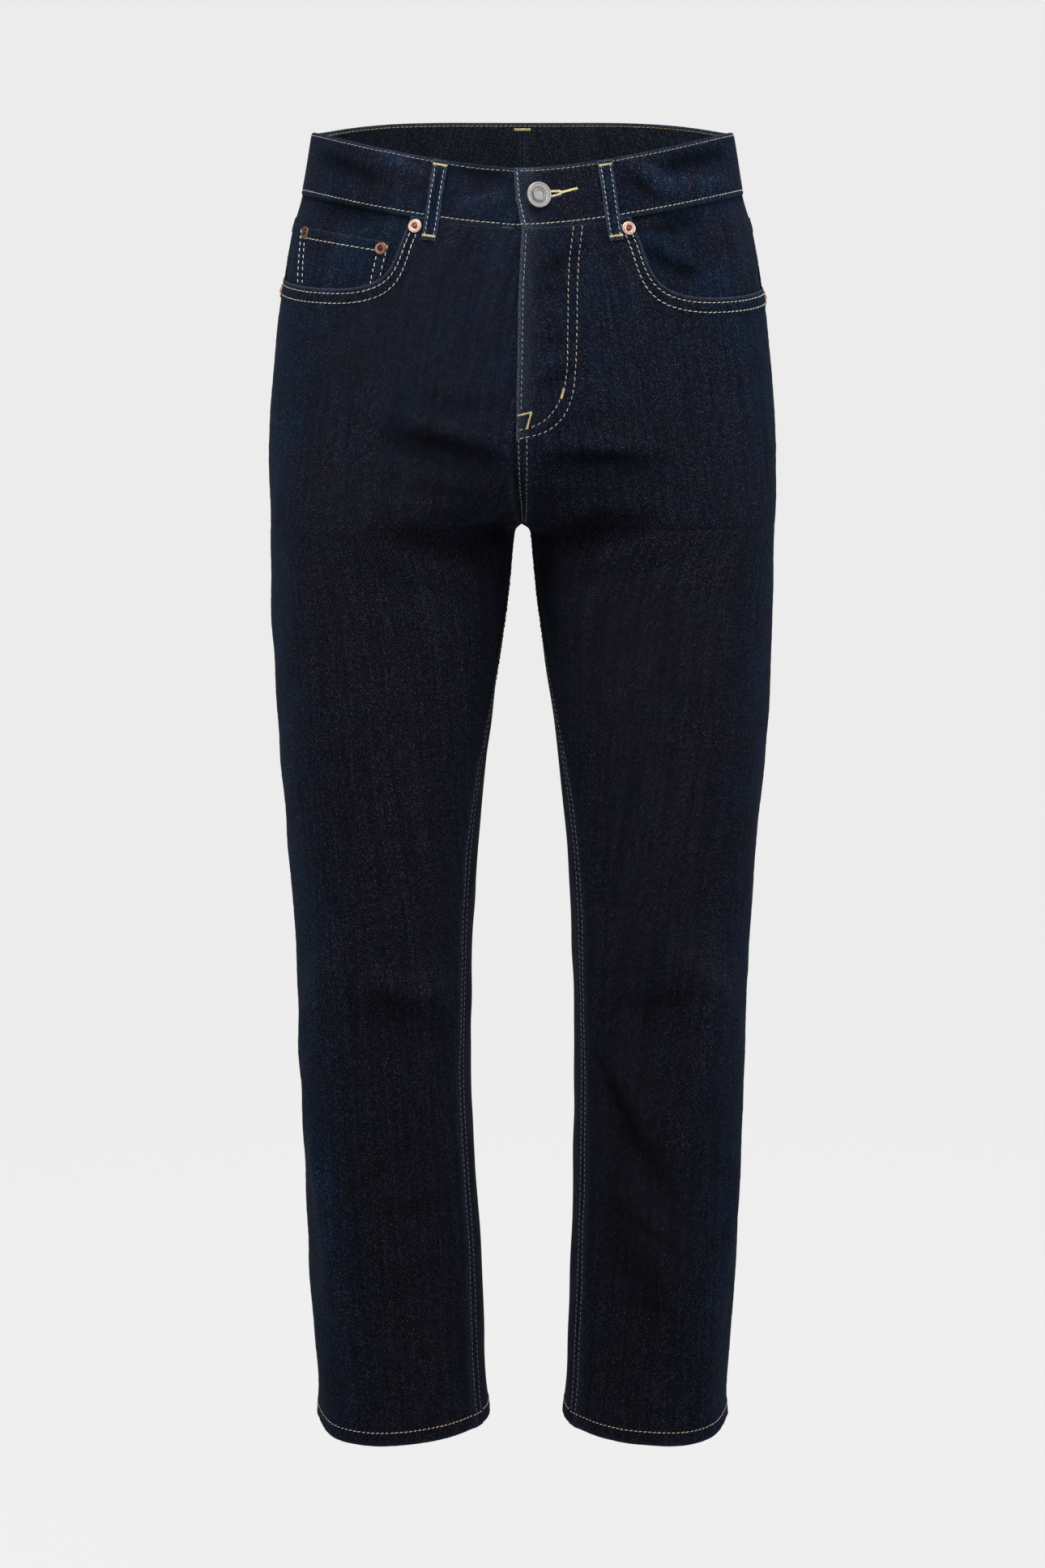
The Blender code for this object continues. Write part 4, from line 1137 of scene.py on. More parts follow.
@dataclass
class SewnPiece:
    """A piece of cloth with its topstitching.

    Attributes:
        form: the form that it is cut from.
        node: the frame's node that it stands for.
        spacing: how close the points of its mesh are.
        slot: not used.
        rounding: how far its edge is rounded down on the outside and the inside, and over what distance.
        joined_at: where the patches of its two sides run into each other, if they do.
        rests_on: not used.
        wall: how thick one layer is.
        groove: how deep the stitches draw the cloth in.
        felled_height: how much a felled seam adds.
        deep: the depth of a fold that gets the darkest painted shade.
        evenly_faded: how faded it is, if that is the same all over.
        inner_at: the height of its inner face, if that is level.
    """

    form: JeansForm
    node: str
    spacing: float = 3.1 * MM
    slot: str = "denim"
    rounding: Triple = (0.45 * MM, 0.25 * MM, 1.9 * MM)
    joined_at: int | None = None
    rests_on: tuple[str, ...] = ("waistband_cloth",)
    wall: float = 1.2 * MM
    groove: float = 0.28 * MM
    felled_height: float = 0.95 * MM
    deep: float = 4 * MM
    evenly_faded: float | None = None
    inner_at: float | None = None

    @property
    def name(self) -> str:
        """What it is called."""
        return self.node + "_cloth"

    def patches(self) -> list[Patch]:
        """What it is cut from."""
        raise NotImplementedError

    def outer(self, side: int, u: Array, drop: Array) -> Array:
        """The height of its outer face off the cloth's face."""
        return np.zeros(len(u))

    def inner(self, side: int, u: Array, drop: Array) -> Array:
        """The height of its inner face."""
        if self.inner_at is not None:
            return np.full(len(u), self.inner_at)
        return self.outer(side, u, drop) - self.wall

    def cut_size(self, area: float) -> Pair:
        """The width and length of the cloth that it is cut from, whose area is given."""
        width = length = 0.0
        for patch in self.patches():
            outline = np.array(patch.outline)
            width += float(np.ptp(self.form.to_flat(outline)[:, 0]))
            length = max(length, float(np.ptp(outline[:, 1])))
        return round(max(width, area / length * 1.02), 3), round(length, 3)

    def rows(self) -> list[Row]:
        """Its rows of topstitching."""
        return []

    def bartacks(self) -> list[Bartack]:
        """Its bartacks."""
        return []

    def wear(self, side: int, u: Array, drop: Array, edge: Array) -> Array:
        """How rubbed the cloth is, from 0 to 1."""
        return 0.3 * np.exp(-edge / (1.1 * MM))

    def fade(self, side: int, u: Array, drop: Array) -> Array:
        """How faded the cloth is: more above and towards the outseams, least down the middle of each leg. Towards the
        outseams this is partly a painted highlight.
        """
        if self.evenly_faded is not None:
            return np.full(len(u), self.evenly_faded)
        upper = fall(drop, 0.12, 0.36)
        # Towards the outseams: partly real fading, partly a painted highlight for the light on the sides of the legs
        outer = fall(np.abs(self.form.across(u, drop)), 38 * MM, 100 * MM)
        inner = 0.35 * np.exp(-(((1 - np.abs(u)) / 0.12) ** 2)) * (1 - upper)
        return 0.08 + 0.40 * upper + (0.78 - 0.26 * upper) * outer + inner

    def felled(self, distance: Array) -> Array:
        """How much thicker the cloth is beside a felled seam, at a distance from it."""
        return self.felled_height * fall(distance, 10.6 * MM, 12.6 * MM)

    def puckers(self, along: Array, seed: int) -> Array:
        """The uneven ripple of cloth that stitches have drawn in, from -1 to 1."""
        draw = np.random.default_rng(seed)
        total = np.zeros(len(along))
        for length in (6.1 * MM, 8.7 * MM, 12.9 * MM, 31 * MM):
            wave = length * draw.uniform(0.93, 1.07)
            total += np.sin(math.tau * along / wave + draw.uniform(0, math.tau))
        return total / 2.6


class Tailor:
    """Cuts, folds and sews every piece of cloth."""

    faces = ("denim", "denim_reverse")
    looks = ("wear", "fade", "crease_shade")
    groove_reach = 0.85 * MM
    row_raised = -0.10 * MM
    inside_raised = 0.16 * MM
    tack_raised = 0.12 * MM
    sharp_from = math.radians(48)

    def __init__(self, form: JeansForm, finishes: dict[str, Material]) -> None:
        """Starts with the form to sew on and the finishes of cloth and thread."""
        self.form = form
        self.finishes = finishes
        self.stitcher = Stitcher()
        self.seed = 100

    def sew(self, piece: SewnPiece) -> None:
        """Makes a piece of cloth and its stitching, and hides the frame's part that the cloth stands for.

        Args:
            piece: what to make.
        """
        rows = piece.rows()
        cloth, face = self._wall(piece, rows)
        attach(cloth, "root")
        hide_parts(piece.node)
        sewn = self._stitches(piece, rows)
        flat = piece.cut_size(face)
        log.info("%s: %d triangles, cut %.0f cm2", piece.name, len(cloth.data.polygons), face * 1e4)

    def _face(self, piece: SewnPiece, patch: Patch, rows: list[Row]) -> dict[str, Array]:
        """Shapes one patch of a piece.

        Args:
            piece: the piece that it belongs to.
            patch: what to cut.
            rows: the piece's rows of topstitching.

        Returns:
            The places, the outer and the inner points, the triangles with their areas, and the looks of each point.
        """
        form, side = self.form, patch.side
        own = [row.path for row in rows if row.side == side and not row.inside]
        places, edge, triangles = Cutter(form, piece.spacing).cut(patch, own)
        u, drop = places[:, 0], places[:, 1]
        if piece.joined_at is not None:  # the join is no edge
            joined = np.abs(u - piece.joined_at) * form.arc(piece.joined_at, drop)
            edge = np.where(joined < edge + JOINED, self._edge_without_join(piece, patch, places), edge)
        stitched = np.zeros(len(u))
        if own:
            lines = np.concatenate([segments_of(form.to_flat(path)) for path in own])
            stitched = np.exp(-((distance_to(form.to_flat(places), lines) / self.groove_reach) ** 2))
        base, outward = form.place(side, u, drop)
        down, up, reach = piece.rounding
        curl = (1 - np.minimum(edge / reach, 1)) ** 2
        outer = piece.outer(side, u, drop) - piece.groove * stitched - down * curl
        inner = piece.inner(side, u, drop) + up * curl
        upper = base + outward * outer[:, None]
        corners = upper[triangles]
        normal = np.cross(corners[:, 1] - corners[:, 0], corners[:, 2] - corners[:, 0])
        facing = (normal * outward[triangles[:, 0]]).sum(axis=1) > 0
        return {
            "places": places,
            "upper": upper,
            "lower": base + outward * inner[:, None],
            "triangles": np.where(facing[:, None], triangles, triangles[:, ::-1]),
            "areas": np.linalg.norm(normal, axis=1) / 2,
            "grain": np.stack([side * form.across(u, drop), -drop], axis=1),
            "wear": np.clip(piece.wear(side, u, drop, edge), 0, 1),
            "fade": piece.fade(side, u, drop),
            # drives the painted shade in the folds and the painted highlight on their ridges, weaker on the lower legs
            "crease_shade": form.pressed(side, u, drop) / piece.deep * (1 - 0.55 * ramp(drop, 0.33, 0.45)),
        }

    def _wall(self, piece: SewnPiece, rows: list[Row]) -> tuple[Piece, float]:
        """Makes a closed wall of cloth between the piece's two faces.

        Args:
            piece: what to make.
            rows: its rows of topstitching.

        Returns:
            The cloth, and the area of its outer face.
        """
        patches = [self._face(piece, patch, rows) for patch in piece.patches()]
        whole = {kind: np.concatenate([patch[kind] for patch in patches]) for kind in patches[0]}
        faces, plain, welds, count = [], [], {}, 0
        for patch in patches:
            u, drop = patch["places"].T
            numbers = np.arange(count, count + len(u))
            if piece.joined_at is not None:
                for k in np.flatnonzero(np.abs(u - piece.joined_at) < JOINED):
                    numbers[k] = welds.setdefault(round(float(drop[k]), 6), count + k)
            faces.append(numbers[patch["triangles"]])
            plain.append(patch["triangles"] + count)
            count += len(u)
        faces, plain = np.concatenate(faces), np.concatenate(plain)
        edges = np.concatenate([faces[:, [0, 1]], faces[:, [1, 2]], faces[:, [2, 0]]])
        a, b = edges[~np.isin(edges[:, 0] * count + edges[:, 1], edges[:, 1] * count + edges[:, 0])].T
        rim = np.concatenate([np.stack([b, a, a + count], axis=1), np.stack([b, a + count, b + count], axis=1)])
        mapped = np.concatenate([plain, plain[:, ::-1], rim % count]).ravel()
        used, everything = np.unique(np.concatenate([faces, faces[:, ::-1] + count, rim]), return_inverse=True)
        everything = everything.reshape(-1, 3)
        mesh = mesh_of(piece.name, np.concatenate([whole["upper"], whole["lower"]])[used], everything)
        mesh.set_sharp_from_angle(angle=self.sharp_from)
        layer = mesh.uv_layers.new(name="Grain")
        layer.data.foreach_set("uv", whole["grain"][mapped].astype(np.float32).ravel())
        for look in self.looks:
            set_attribute(mesh, look, whole[look][used % count])
        for finish in self.faces:
            mesh.materials.append(self.finishes[finish])
        turned = np.zeros(len(everything), np.int32)
        turned[len(faces) : 2 * len(faces)] = 1
        mesh.polygons.foreach_set("material_index", turned)
        return show(mesh), round(float(whole["areas"].sum()), 5)

    def _edge_without_join(self, piece: SewnPiece, patch: Patch, places: Array) -> Array:
        """How far places are from a patch's edges, leaving out the one where it joins the other side's."""
        loops = [dense(self.form, loop, Cutter.edge_step, closed=True) for loop in (patch.outline, *patch.holes)]
        edges = []
        for loop in loops:
            ends = np.abs(loop[:, 0] - piece.joined_at) < JOINED
            kept = ~(ends & np.roll(ends, -1))
            edges.append(segments_of(self.form.to_flat(loop), closed=True)[kept])
        return distance_to(self.form.to_flat(places), np.concatenate(edges))

    def _line(self, piece: SewnPiece, side: int, path: Array, inside: bool) -> tuple[Array, Array]:
        """Points and outward directions of a line on a piece's outer or inner face."""
        base, outward = self.form.place(side, path[:, 0], path[:, 1])
        height = (piece.inner if inside else piece.outer)(side, path[:, 0], path[:, 1])
        return base + outward * height[:, None], -outward if inside else outward

    def _stitches(self, piece: SewnPiece, rows: list[Row]) -> list[Piece]:
        """Sews a piece's rows and bartacks.

        Args:
            piece: what to sew on.
            rows: its rows of topstitching.

        Returns:
            The rows as one piece and the bartacks as another, where it has them.
        """
        self.seed += 1
        draw = np.random.default_rng(self.seed)
        sewn = []
        for row in rows:
            points, normals = self._line(piece, row.side, row.path, row.inside)
            raised = points + normals * (self.inside_raised if row.inside else self.row_raised)
            sewn.append((self.stitcher.row(raised, normals, row, draw), row.thread))
        tacked = []
        for tack in piece.bartacks():
            points, normals = self._line(piece, tack.side, dense(self.form, tack.ends, FINE_STEP), tack.inside)
            raised = points + normals * self.tack_raised
            tacked.append((self.stitcher.bar(raised, normals, tack, draw), tack.thread))
        made = []
        for ending, slot, groups in (("_stitching", "thread_ecru", sewn), ("_bartacks", "thread_gold", tacked)):
            if not groups:
                continue
            joined = self.stitcher.join(piece.node + ending, groups, draw)
            joined.data.materials.append(self.finishes["thread"])
            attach(joined, "root")
            made.append(joined)
            log.info("%s: %d triangles", joined.name, len(joined.data.polygons))
        return made


def smooth_path(corners: Places, each: int = 10) -> Array:
    """A smooth path through some places, with this many steps between each two."""
    points = np.array(corners, float)
    ends = np.concatenate([2 * points[:1] - points[1:2], points, 2 * points[-1:] - points[-2:-1]])
    t = (np.arange(each) / each)[:, None]
    runs = []
    for a, b, c, d in zip(ends, ends[1:], ends[2:], ends[3:]):
        runs.append(b + 0.5 * t * (c - a + t * (2 * a - 5 * b + 4 * c - d + t * (3 * (b - c) + d - a))))
    return np.concatenate([*runs, points[-1:]])


@dataclass
class Panel(SewnPiece):
    """A front or a back, whose hem is turned up twice."""

    side: int = 1
    seam_rows: Pair = (1.7 * MM, 7.8 * MM)  # from a felled seam's edge
    hem_row_up: float = 10.4 * MM
    hem_rolled: float = 2.4 * MM  # how far up the hem's edge is round
    pressed_open: float = 0.35 * MM  # how much the outseam's allowances raise the cloth

    def allowances(self, u: Array, drop: Array, seed: int) -> Array:
        """How the outseam's allowances, pressed open behind it, raise and ripple the outer face."""
        outseam = np.abs(self.form.across(u, drop))
        return self.pressed_open * fall(outseam, 9 * MM, 12 * MM) * (1 + 0.3 * self.puckers(drop, seed))

    def _on_turn_up(self, drop: Array, above: float, below: float) -> Array:
        """A rise from 0 over the hem's turn-up to 1 on it."""
        top = self.form.hem - self.form.hem_turn_up
        return ramp(drop, top - above, top + below)

    def _hem_curl(self, drop: Array) -> Array:
        """How the cloth curls in at the hem's edge, up to 1."""
        return (1 - np.minimum((self.form.hem - drop) / self.hem_rolled, 1)) ** 2

    def hem_height(self, side: int, u: Array, drop: Array) -> Array:
        """How the hem's turn-up raises and ripples the outer face."""
        ripple = self.puckers(self.form.across(u, drop) + 0.5 * (drop - self.form.hem), 31 + side)
        turned = self._on_turn_up(drop, 1.5 * MM, 1 * MM)
        return turned * (0.30 + 0.22 * ripple) * MM - 0.75 * MM * self._hem_curl(drop)

    def inner(self, side: int, u: Array, drop: Array) -> Array:
        """One layer below the outer face, and three at the hem."""
        deeper = (2 * self.wall + 0.2 * MM) * self._on_turn_up(drop, 0.8 * MM, 0.2 * MM)
        return super().inner(side, u, drop) - deeper + 2.0 * MM * self._hem_curl(drop)

    def hem_row(self, half: int) -> Row:
        """The hem's row of stitches across a front (half -1) or a back (half 1)."""
        shares = np.linspace(0.006, 0.992, 90) * half
        path = np.stack([shares, np.full(len(shares), self.form.hem - self.hem_row_up)], axis=1)
        return Row(self.side, path, Thread.TAN, 3.6 * MM, 0.70, 0.30 * MM)


@dataclass
class FrontPanel(Panel):
    """A front, from the waistband to the hem, with a pocket's mouth cut out of it.

    The left one has the fly's fold, which laps over the middle, and the right one passes behind it.
    """

    mouths: tuple = ((-1, 133.5 * MM, 111 * MM), (1, 136 * MM, 118 * MM))  # side, reach, lowest drop
    mouth_squareness: float = 5
    mouth_rise: float = 5 * MM
    under_band: float = 44.6 * MM
    lap_at: tuple = (  # drop, how far the left front laps past the middle, in mm
        (45, 0.6), (75, 1.9), (100, 3.0), (145, 3.5), (190, 4.3), (222, 4.6), (262, 4.0), (279, 2.2), (289.6, 0),
    )
    sunk: float = 1.45 * MM
    fly_inner: tuple = (  # from the middle, drop, in mm
        (36.9, 46), (33.9, 75), (32.9, 105), (32.6, 140), (31.7, 170), (27.9, 188), (19.9, 203), (9.5, 211),
        (-3.2, 215),
    )
    fly_outer: tuple = (
        (43.3, 46), (40.6, 75), (39.5, 105), (39.1, 140), (37.6, 175), (33.3, 196), (25.2, 209.5), (13.5, 217.5),
        (-3.2, 221.6),
    )
    mouth_rows: tuple = ((3.8 * MM, 0.0), (8.7 * MM, 2.4 * MM))  # from the mouth, and how much more at its foot
    mouth_raised: float = 0.75 * MM
    fly_raised: float = 0.55 * MM
    fly_edge_row: float = 3.4 * MM
    rise_rows: Pair = (1.6 * MM, 7.8 * MM)
    inseam_rows: Pair = (1.7 * MM, 7.6 * MM)
    outseam_tack: float = 232.5 * MM  # the drop where the outseam's rows end
    fly_tacks: tuple = (  # both ends, from the middle and drop, and the width, in mm
        ((-3.2, 203.0), (6.6, 200.4), 1.5), ((6.2, 201.2), (3.2, 213.6), 1.4), ((29.8, 181.5), (28.0, 189.0), 1.7),
    )

    def lap(self, drop: Array | float) -> Array:
        """How far the left front laps past the middle."""
        table = np.array(self.lap_at) * MM
        return np.interp(drop, table[:, 0], table[:, 1])

    def mouth(self, further: float = 0.0, lower: float = 0.0, steps: int = 26) -> list[Pair]:
        """The pocket's mouth, or a line round it further out, from the waistband to the outseam."""
        across, lowest = next(sizes[1:] for sizes in self.mouths if sizes[0] == self.side)
        across += further
        deep = lowest + further + lower - self.form.waistband_height
        corner = 0.5 ** (1 / self.mouth_squareness)
        shares = [corner * k / steps for k in range(steps + 1)]
        pairs = [(share, (1 - share**self.mouth_squareness) ** (1 / self.mouth_squareness)) for share in shares]
        curve = []
        for away, down in [(b, a) for a, b in pairs] + pairs[-2::-1]:
            rise = self.mouth_rise * max(0.0, 1 - 2 * away) ** 2
            curve.append((across * away, self.form.waistband_height + deep * down - rise))
        return [self.form.from_outseam(*point) for point in curve]

    def inner_edge(self, further: float = 0.0) -> list[Pair]:
        """The fly's edge and the inseam, or a line beside them, from the waistband down."""
        drops = self.form.drops[(self.form.drops > self.under_band) & (self.form.drops < self.form.hem)]
        drops = [self.under_band, *drops, self.form.hem]
        lap = self.lap(np.array(drops)) if self.side > 0 else np.zeros(len(drops))
        return [self.form.from_middle(further - past, drop) for past, drop in zip(lap.tolist(), drops)]

    def patches(self) -> list[Patch]:
        """From the waistband round the mouth, down the outseam, along the hem and up the inseam."""
        mouth = self.mouth()
        start = (mouth[0][0], self.under_band)
        outseam = [(-0.0002, mouth[-1][1]), (-0.0002, self.form.hem)]
        return [Patch(self.side, [start, *mouth[1:-1], *outseam, *self.inner_edge()[::-1]])]

    def outer(self, side: int, u: Array, drop: Array) -> Array:
        """Raised along the inseam, the fly and the mouth, and sunk where the other front laps over it.

        Args:
            side: -1 for the wearer's right side, 1 for the left.
            u: how far round each place is.
            drop: how far down each place is.

        Returns:
            The height of the outer face over the form at each place.
        """
        form = self.form
        before = (1 + u) * form.arc(-1, drop)
        ripple = self.puckers(drop, 5 + side)
        below = ramp(drop, form.crotch, form.crotch + 5 * MM)
        seam = self.felled(before) * (1 + 0.16 * ripple)
        if side > 0:
            from_lap = before + self.lap(drop)
            under_fly = ramp(drop, form.fly_end - 8 * MM, form.fly_end)
            height = self.felled(from_lap) * (1 + 0.16 * ripple) * under_fly * (1 - below) + seam * below
            outer_row = np.array(self.fly_outer) * MM
            reach = np.interp(drop, outer_row[:, 1], outer_row[:, 0]) + 1.6 * MM
            fly = self.fly_raised * fall(before - reach, -2.5 * MM, 1.5 * MM) * (1 - under_fly)
            height += fly * (1 + 0.25 * ripple)
        else:
            past = ramp(before - self.lap(drop), 0.4 * MM, 5.5 * MM)
            height = seam * below - self.sunk * (1 - past) * fall(drop, 0.270, form.crotch - 1 * MM)
        mouth = form.to_flat(np.array(self.mouth()))
        near = drop < 0.17
        away = np.full(len(u), 1.0)
        if near.any():
            away[near] = distance_to(form.to_flat(np.stack([u, drop], axis=1))[near], segments_of(mouth))
        wide = 10.1 * MM + 2.6 * MM * ramp(drop, 0.075, 0.105)
        height += (self.mouth_raised + 0.07 * MM * ripple) * fall(away - wide, -1.1 * MM, 1.1 * MM)
        height += self.allowances(u, drop, 9) * ramp(away, 9 * MM, 14 * MM)
        return height + self.hem_height(side, u, drop)

    def rows(self) -> list[Row]:
        """The mouth's two rows, the fly's three, the rise's and the inseam's two, and the hem's."""
        side, form = self.side, self.form
        rows = []
        for away, lower in self.mouth_rows:
            line = [place for place in self.mouth(away, lower) if place[1] > self.form.waistband_height + 1 * MM]
            rows.append(Row(side, dense(form, line), Thread.PALE_YELLOW, 4.3 * MM, 0.70, 0.26 * MM))
        if side > 0:
            edge = [place for place in self.inner_edge(self.fly_edge_row) if 47 * MM < place[1] < 200 * MM]
            rows.append(Row(side, dense(form, edge), Thread.OLIVE, 4.4 * MM, 0.60, 0.26 * MM))
            for line in (self.fly_inner, self.fly_outer):
                path = np.array([form.from_middle(x * MM, y * MM) for x, y in smooth_path(line)])
                rows.append(Row(side, dense(form, path), Thread.HONEY, 4.5 * MM, 0.60, 0.25 * MM))
            for away in self.rise_rows:
                edge = [place for place in self.inner_edge(away) if 221 * MM < place[1] < 287 * MM]
                rows.append(Row(side, dense(form, edge), Thread.OLIVE, 4.2 * MM, 0.62, 0.25 * MM))
        for away in self.inseam_rows:
            edge = [form.from_middle(away, drop) for drop in np.arange(0.2935, form.hem - 11 * MM, 3 * MM)]
            rows.append(Row(side, dense(form, edge), Thread.DULL, 4.0 * MM, 0.64, 0.25 * MM))
        return [*rows, self.hem_row(-1)]

    def bartacks(self) -> list[Bartack]:
        """Below the outseam's two rows, and on the left under the fly and on its inner row."""
        form, tacks = self.form, []
        for *ends, width in self.fly_tacks if self.side > 0 else ():
            places = [form.from_middle(across * MM, drop * MM) for across, drop in ends]
            tacks.append(Bartack(self.side, places, width * MM))
        low = [form.from_outseam(1.2 * MM, self.outseam_tack + down) for down in (-3 * MM, 4 * MM)]
        return [*tacks, Bartack(self.side, low, 1.9 * MM)]

    def wear(self, side: int, u: Array, drop: Array, edge: Array) -> Array:
        """Rubbed at the mouth's edge, the fly's fold and the hem, and on the ridges of the seams."""
        form = self.form
        before = (1 + u) * form.arc(-1, drop) + (self.lap(drop) if side > 0 else 0.0)
        ridge = np.exp(-(((before - 9.6 * MM) / (2.6 * MM)) ** 2)) * ramp(drop, form.fly_end, form.crotch)
        near_mouth = (drop < 0.16).astype(float)
        rub = np.exp(-((edge / (1.5 * MM)) ** 2))
        hem = np.exp(-((form.hem - drop) / (1.6 * MM)))
        fold = 0.9 * (side > 0) * (drop < form.fly_end)
        rubbed_fold = 0.42 * fold * np.exp(-((before / (9 * MM)) ** 2))
        edges = np.where(before < 6 * MM, np.maximum(fold, 0.10), np.maximum(0.80 * near_mouth, 0.15))
        return rub * edges + rubbed_fold + 0.25 * ridge + 0.4 * hem


@dataclass
class BackPanel(Panel):
    """A back, from the yoke to the hem. The left one laps over the right one at the seat seam."""

    yoke_at_side: float = 73 * MM
    yoke_at_seat: float = 112 * MM
    tuck: float = 1.3 * MM  # how far it runs on under its neighbours
    outseam_rows: Pair = (2.2 * MM, 8.5 * MM)
    outseam_rows_end: float = 232 * MM

    def yoke_line(self, u: Array | float) -> Array | float:
        """The drop of the seam between the yoke and the back."""
        return self.yoke_at_side + (self.yoke_at_seat - self.yoke_at_side) * u

    def seat_rows(self, start: float, end: float) -> list[Row]:
        """The seat seam's two rows, which are sewn on the left side."""
        drops, rows = np.arange(start, end, 3 * MM), []
        for away in self.seam_rows if self.side > 0 else ():
            path = [(1 - away / float(self.form.arc(1, drop)), drop) for drop in drops]
            rows.append(Row(1, dense(self.form, path), Thread.HONEY, 4.0 * MM, 0.66))
        return rows

    def patches(self) -> list[Patch]:
        """From the yoke down the seat seam and the inseam, along the hem and up the outseam."""
        form = self.form
        top = [(u, self.yoke_line(u) - self.tuck) for u in np.linspace(0.0002, 1, 40)]
        drops = form.drops[(form.drops > top[-1][1]) & (form.drops < form.hem)]
        drops = np.array([top[-1][1], *drops, form.hem])
        over = self.tuck * ramp(np.abs(drops - form.crotch), 3 * MM, 14 * MM)
        if self.side > 0:
            over *= drops > form.crotch
        edge = [(1 + past / float(form.arc(1, drop)), drop) for past, drop in zip(over.tolist(), drops.tolist())]
        return [Patch(self.side, [*top[:-1], *edge, (0.0002, form.hem)])]

    def outer(self, side: int, u: Array, drop: Array) -> Array:
        """Raised on the left along the seat seam, and a little along the outseam."""
        form = self.form
        before = (1 - u) * form.arc(1, drop)
        height = np.zeros(len(u))
        if side > 0:
            above = fall(drop, form.crotch - 6 * MM, form.crotch)
            height += self.felled(before) * above * (1 + 0.16 * self.puckers(drop, 41))
        return height + self.allowances(u, drop, 43) + self.hem_height(side, u, drop)

    def rows(self) -> list[Row]:
        """The seat seam's two rows on the left, the outseam's short row, and the hem's."""
        form = self.form
        rows = self.seat_rows(0.113, 0.287)
        for away in self.outseam_rows:
            path = [form.from_outseam(away, drop, 1) for drop in np.arange(0.077, self.outseam_rows_end, 3 * MM)]
            rows.append(Row(self.side, dense(form, path), Thread.PALE_YELLOW, 4.0 * MM, 0.70))
        return [*rows, self.hem_row(1)]


@dataclass
class Yoke(BackPanel):
    """Half of the back yoke, which laps over the back below it."""

    def patches(self) -> list[Patch]:
        """From the waistband to the seam with the back."""
        end = 1 + (self.tuck / float(self.form.arc(1, 0.08)) if self.side < 0 else 0)
        low = [(u, self.yoke_line(u)) for u in np.linspace(end, 0.0002, 40)]
        return [Patch(self.side, [(0.0002, 44.6 * MM), (end, 44.6 * MM), *low])]

    def outer(self, side: int, u: Array, drop: Array) -> Array:
        """Raised along its lower edge, and on the left along the seat seam."""
        form = self.form
        height = self.felled(np.abs(self.yoke_line(u) - drop)) * (1 + 0.14 * self.puckers(form.across(u, drop), 51))
        if side > 0:
            height = np.maximum(height, self.felled((1 - u) * form.arc(1, drop)))
        return height

    def inner(self, side: int, u: Array, drop: Array) -> Array:
        """One layer below the outer face."""
        return SewnPiece.inner(self, side, u, drop)

    def rows(self) -> list[Row]:
        """Two rows along its lower edge, and on the left two along the seat seam."""
        rows = []
        for up in self.seam_rows:
            path = [(u, self.yoke_line(u) - up) for u in np.linspace(0.005, 0.996, 110)]
            rows.append(Row(self.side, np.array(path), Thread.HONEY, 4.0 * MM, 0.66))
        return rows + self.seat_rows(0.047, 0.1085)


@dataclass
class BackPocket(SewnPiece):
    """A patch pocket on a back, with a deep hem along its top."""

    side: int = 1
    corners: tuple = (  # from the outseam, drop
        (52 * MM, 114 * MM), (208 * MM, 124 * MM), (197 * MM, 258 * MM), (129 * MM, 277 * MM), (64 * MM, 250 * MM),
    )
    rounding: Triple = (0.55 * MM, 0.0, 2.0 * MM)
    lift: float = 1.55 * MM
    full: float = 0.9 * MM
    gape: float = 0.5 * MM
    hem_raised: float = 0.45 * MM
    edge_raised: float = 0.25 * MM
    edge_rows: Pair = (1.8 * MM, 7.4 * MM)
    hem_rows: Pair = (2.0 * MM, 12.6 * MM)
    evenly_faded: float = 0.55
    inner_at: float = 0.2 * MM

    def patches(self) -> list[Patch]:
        """Its five corners."""
        return [Patch(self.side, [self.form.from_outseam(*corner, 1) for corner in self.corners])]

    def _from_edges(self, u: Array, drop: Array) -> tuple[Array, Array]:
        """How far a place is from the top edge, and from the other edges."""
        flat = self.form.to_flat(np.stack([u, drop], axis=1))
        loop = self.form.to_flat(np.array(self.patches()[0].outline))
        edges = segments_of(loop, closed=True)
        return distance_to(flat, edges[:1], 90 * MM), distance_to(flat, edges[1:], 90 * MM)

    def outer(self, side: int, u: Array, drop: Array) -> Array:
        """A layer on the back, thicker at its hem and slightly full in the middle."""
        top, rest = self._from_edges(u, drop)
        full = self.full * ramp(np.minimum(top, rest), 6 * MM, 60 * MM)
        gape = self.gape * fall(top, 0.0, 22 * MM) * ramp(rest, 4 * MM, 45 * MM)
        turned = self.hem_raised * fall(top, 13.5 * MM, 15.5 * MM)
        folded = self.edge_raised * fall(rest, 9 * MM, 11 * MM)
        return self.lift + full + gape + turned + folded * (1 + 0.4 * self.puckers(drop + u * 0.1, 61))

    def rows(self) -> list[Row]:
        """Two rows round its sides and foot, and two across its hem."""
        form = self.form
        loop = form.to_flat(np.array(self.patches()[0].outline))
        lines = []
        for away in self.edge_rows:
            inner = inset(loop, away)[[0, 4, 3, 2, 1]]
            for end, next_to in ((0, 1), (-1, -2)):
                run = inner[end] - inner[next_to]
                inner[end] += run / np.linalg.norm(run) * (away - 0.8 * MM)
            lines.append(inner)
        lines += [inset(loop, away)[:2] for away in self.hem_rows]
        return [Row(self.side, dense(form, form.from_flat(line)), Thread.HONEY, 4.0 * MM, 0.66) for line in lines]

    def bartacks(self) -> list[Bartack]:
        """At both ends of its opening."""
        form = self.form
        found = []
        for (x, y), way in ((self.corners[0], 1), (self.corners[1], -1)):
            start = form.from_outseam(x + way * 4.6 * MM, y + 1.2 * MM, 1)
            end = form.from_outseam(x + way * 5.2 * MM, y + 9.5 * MM, 1)
            found.append(Bartack(self.side, (start, end)))
        return found


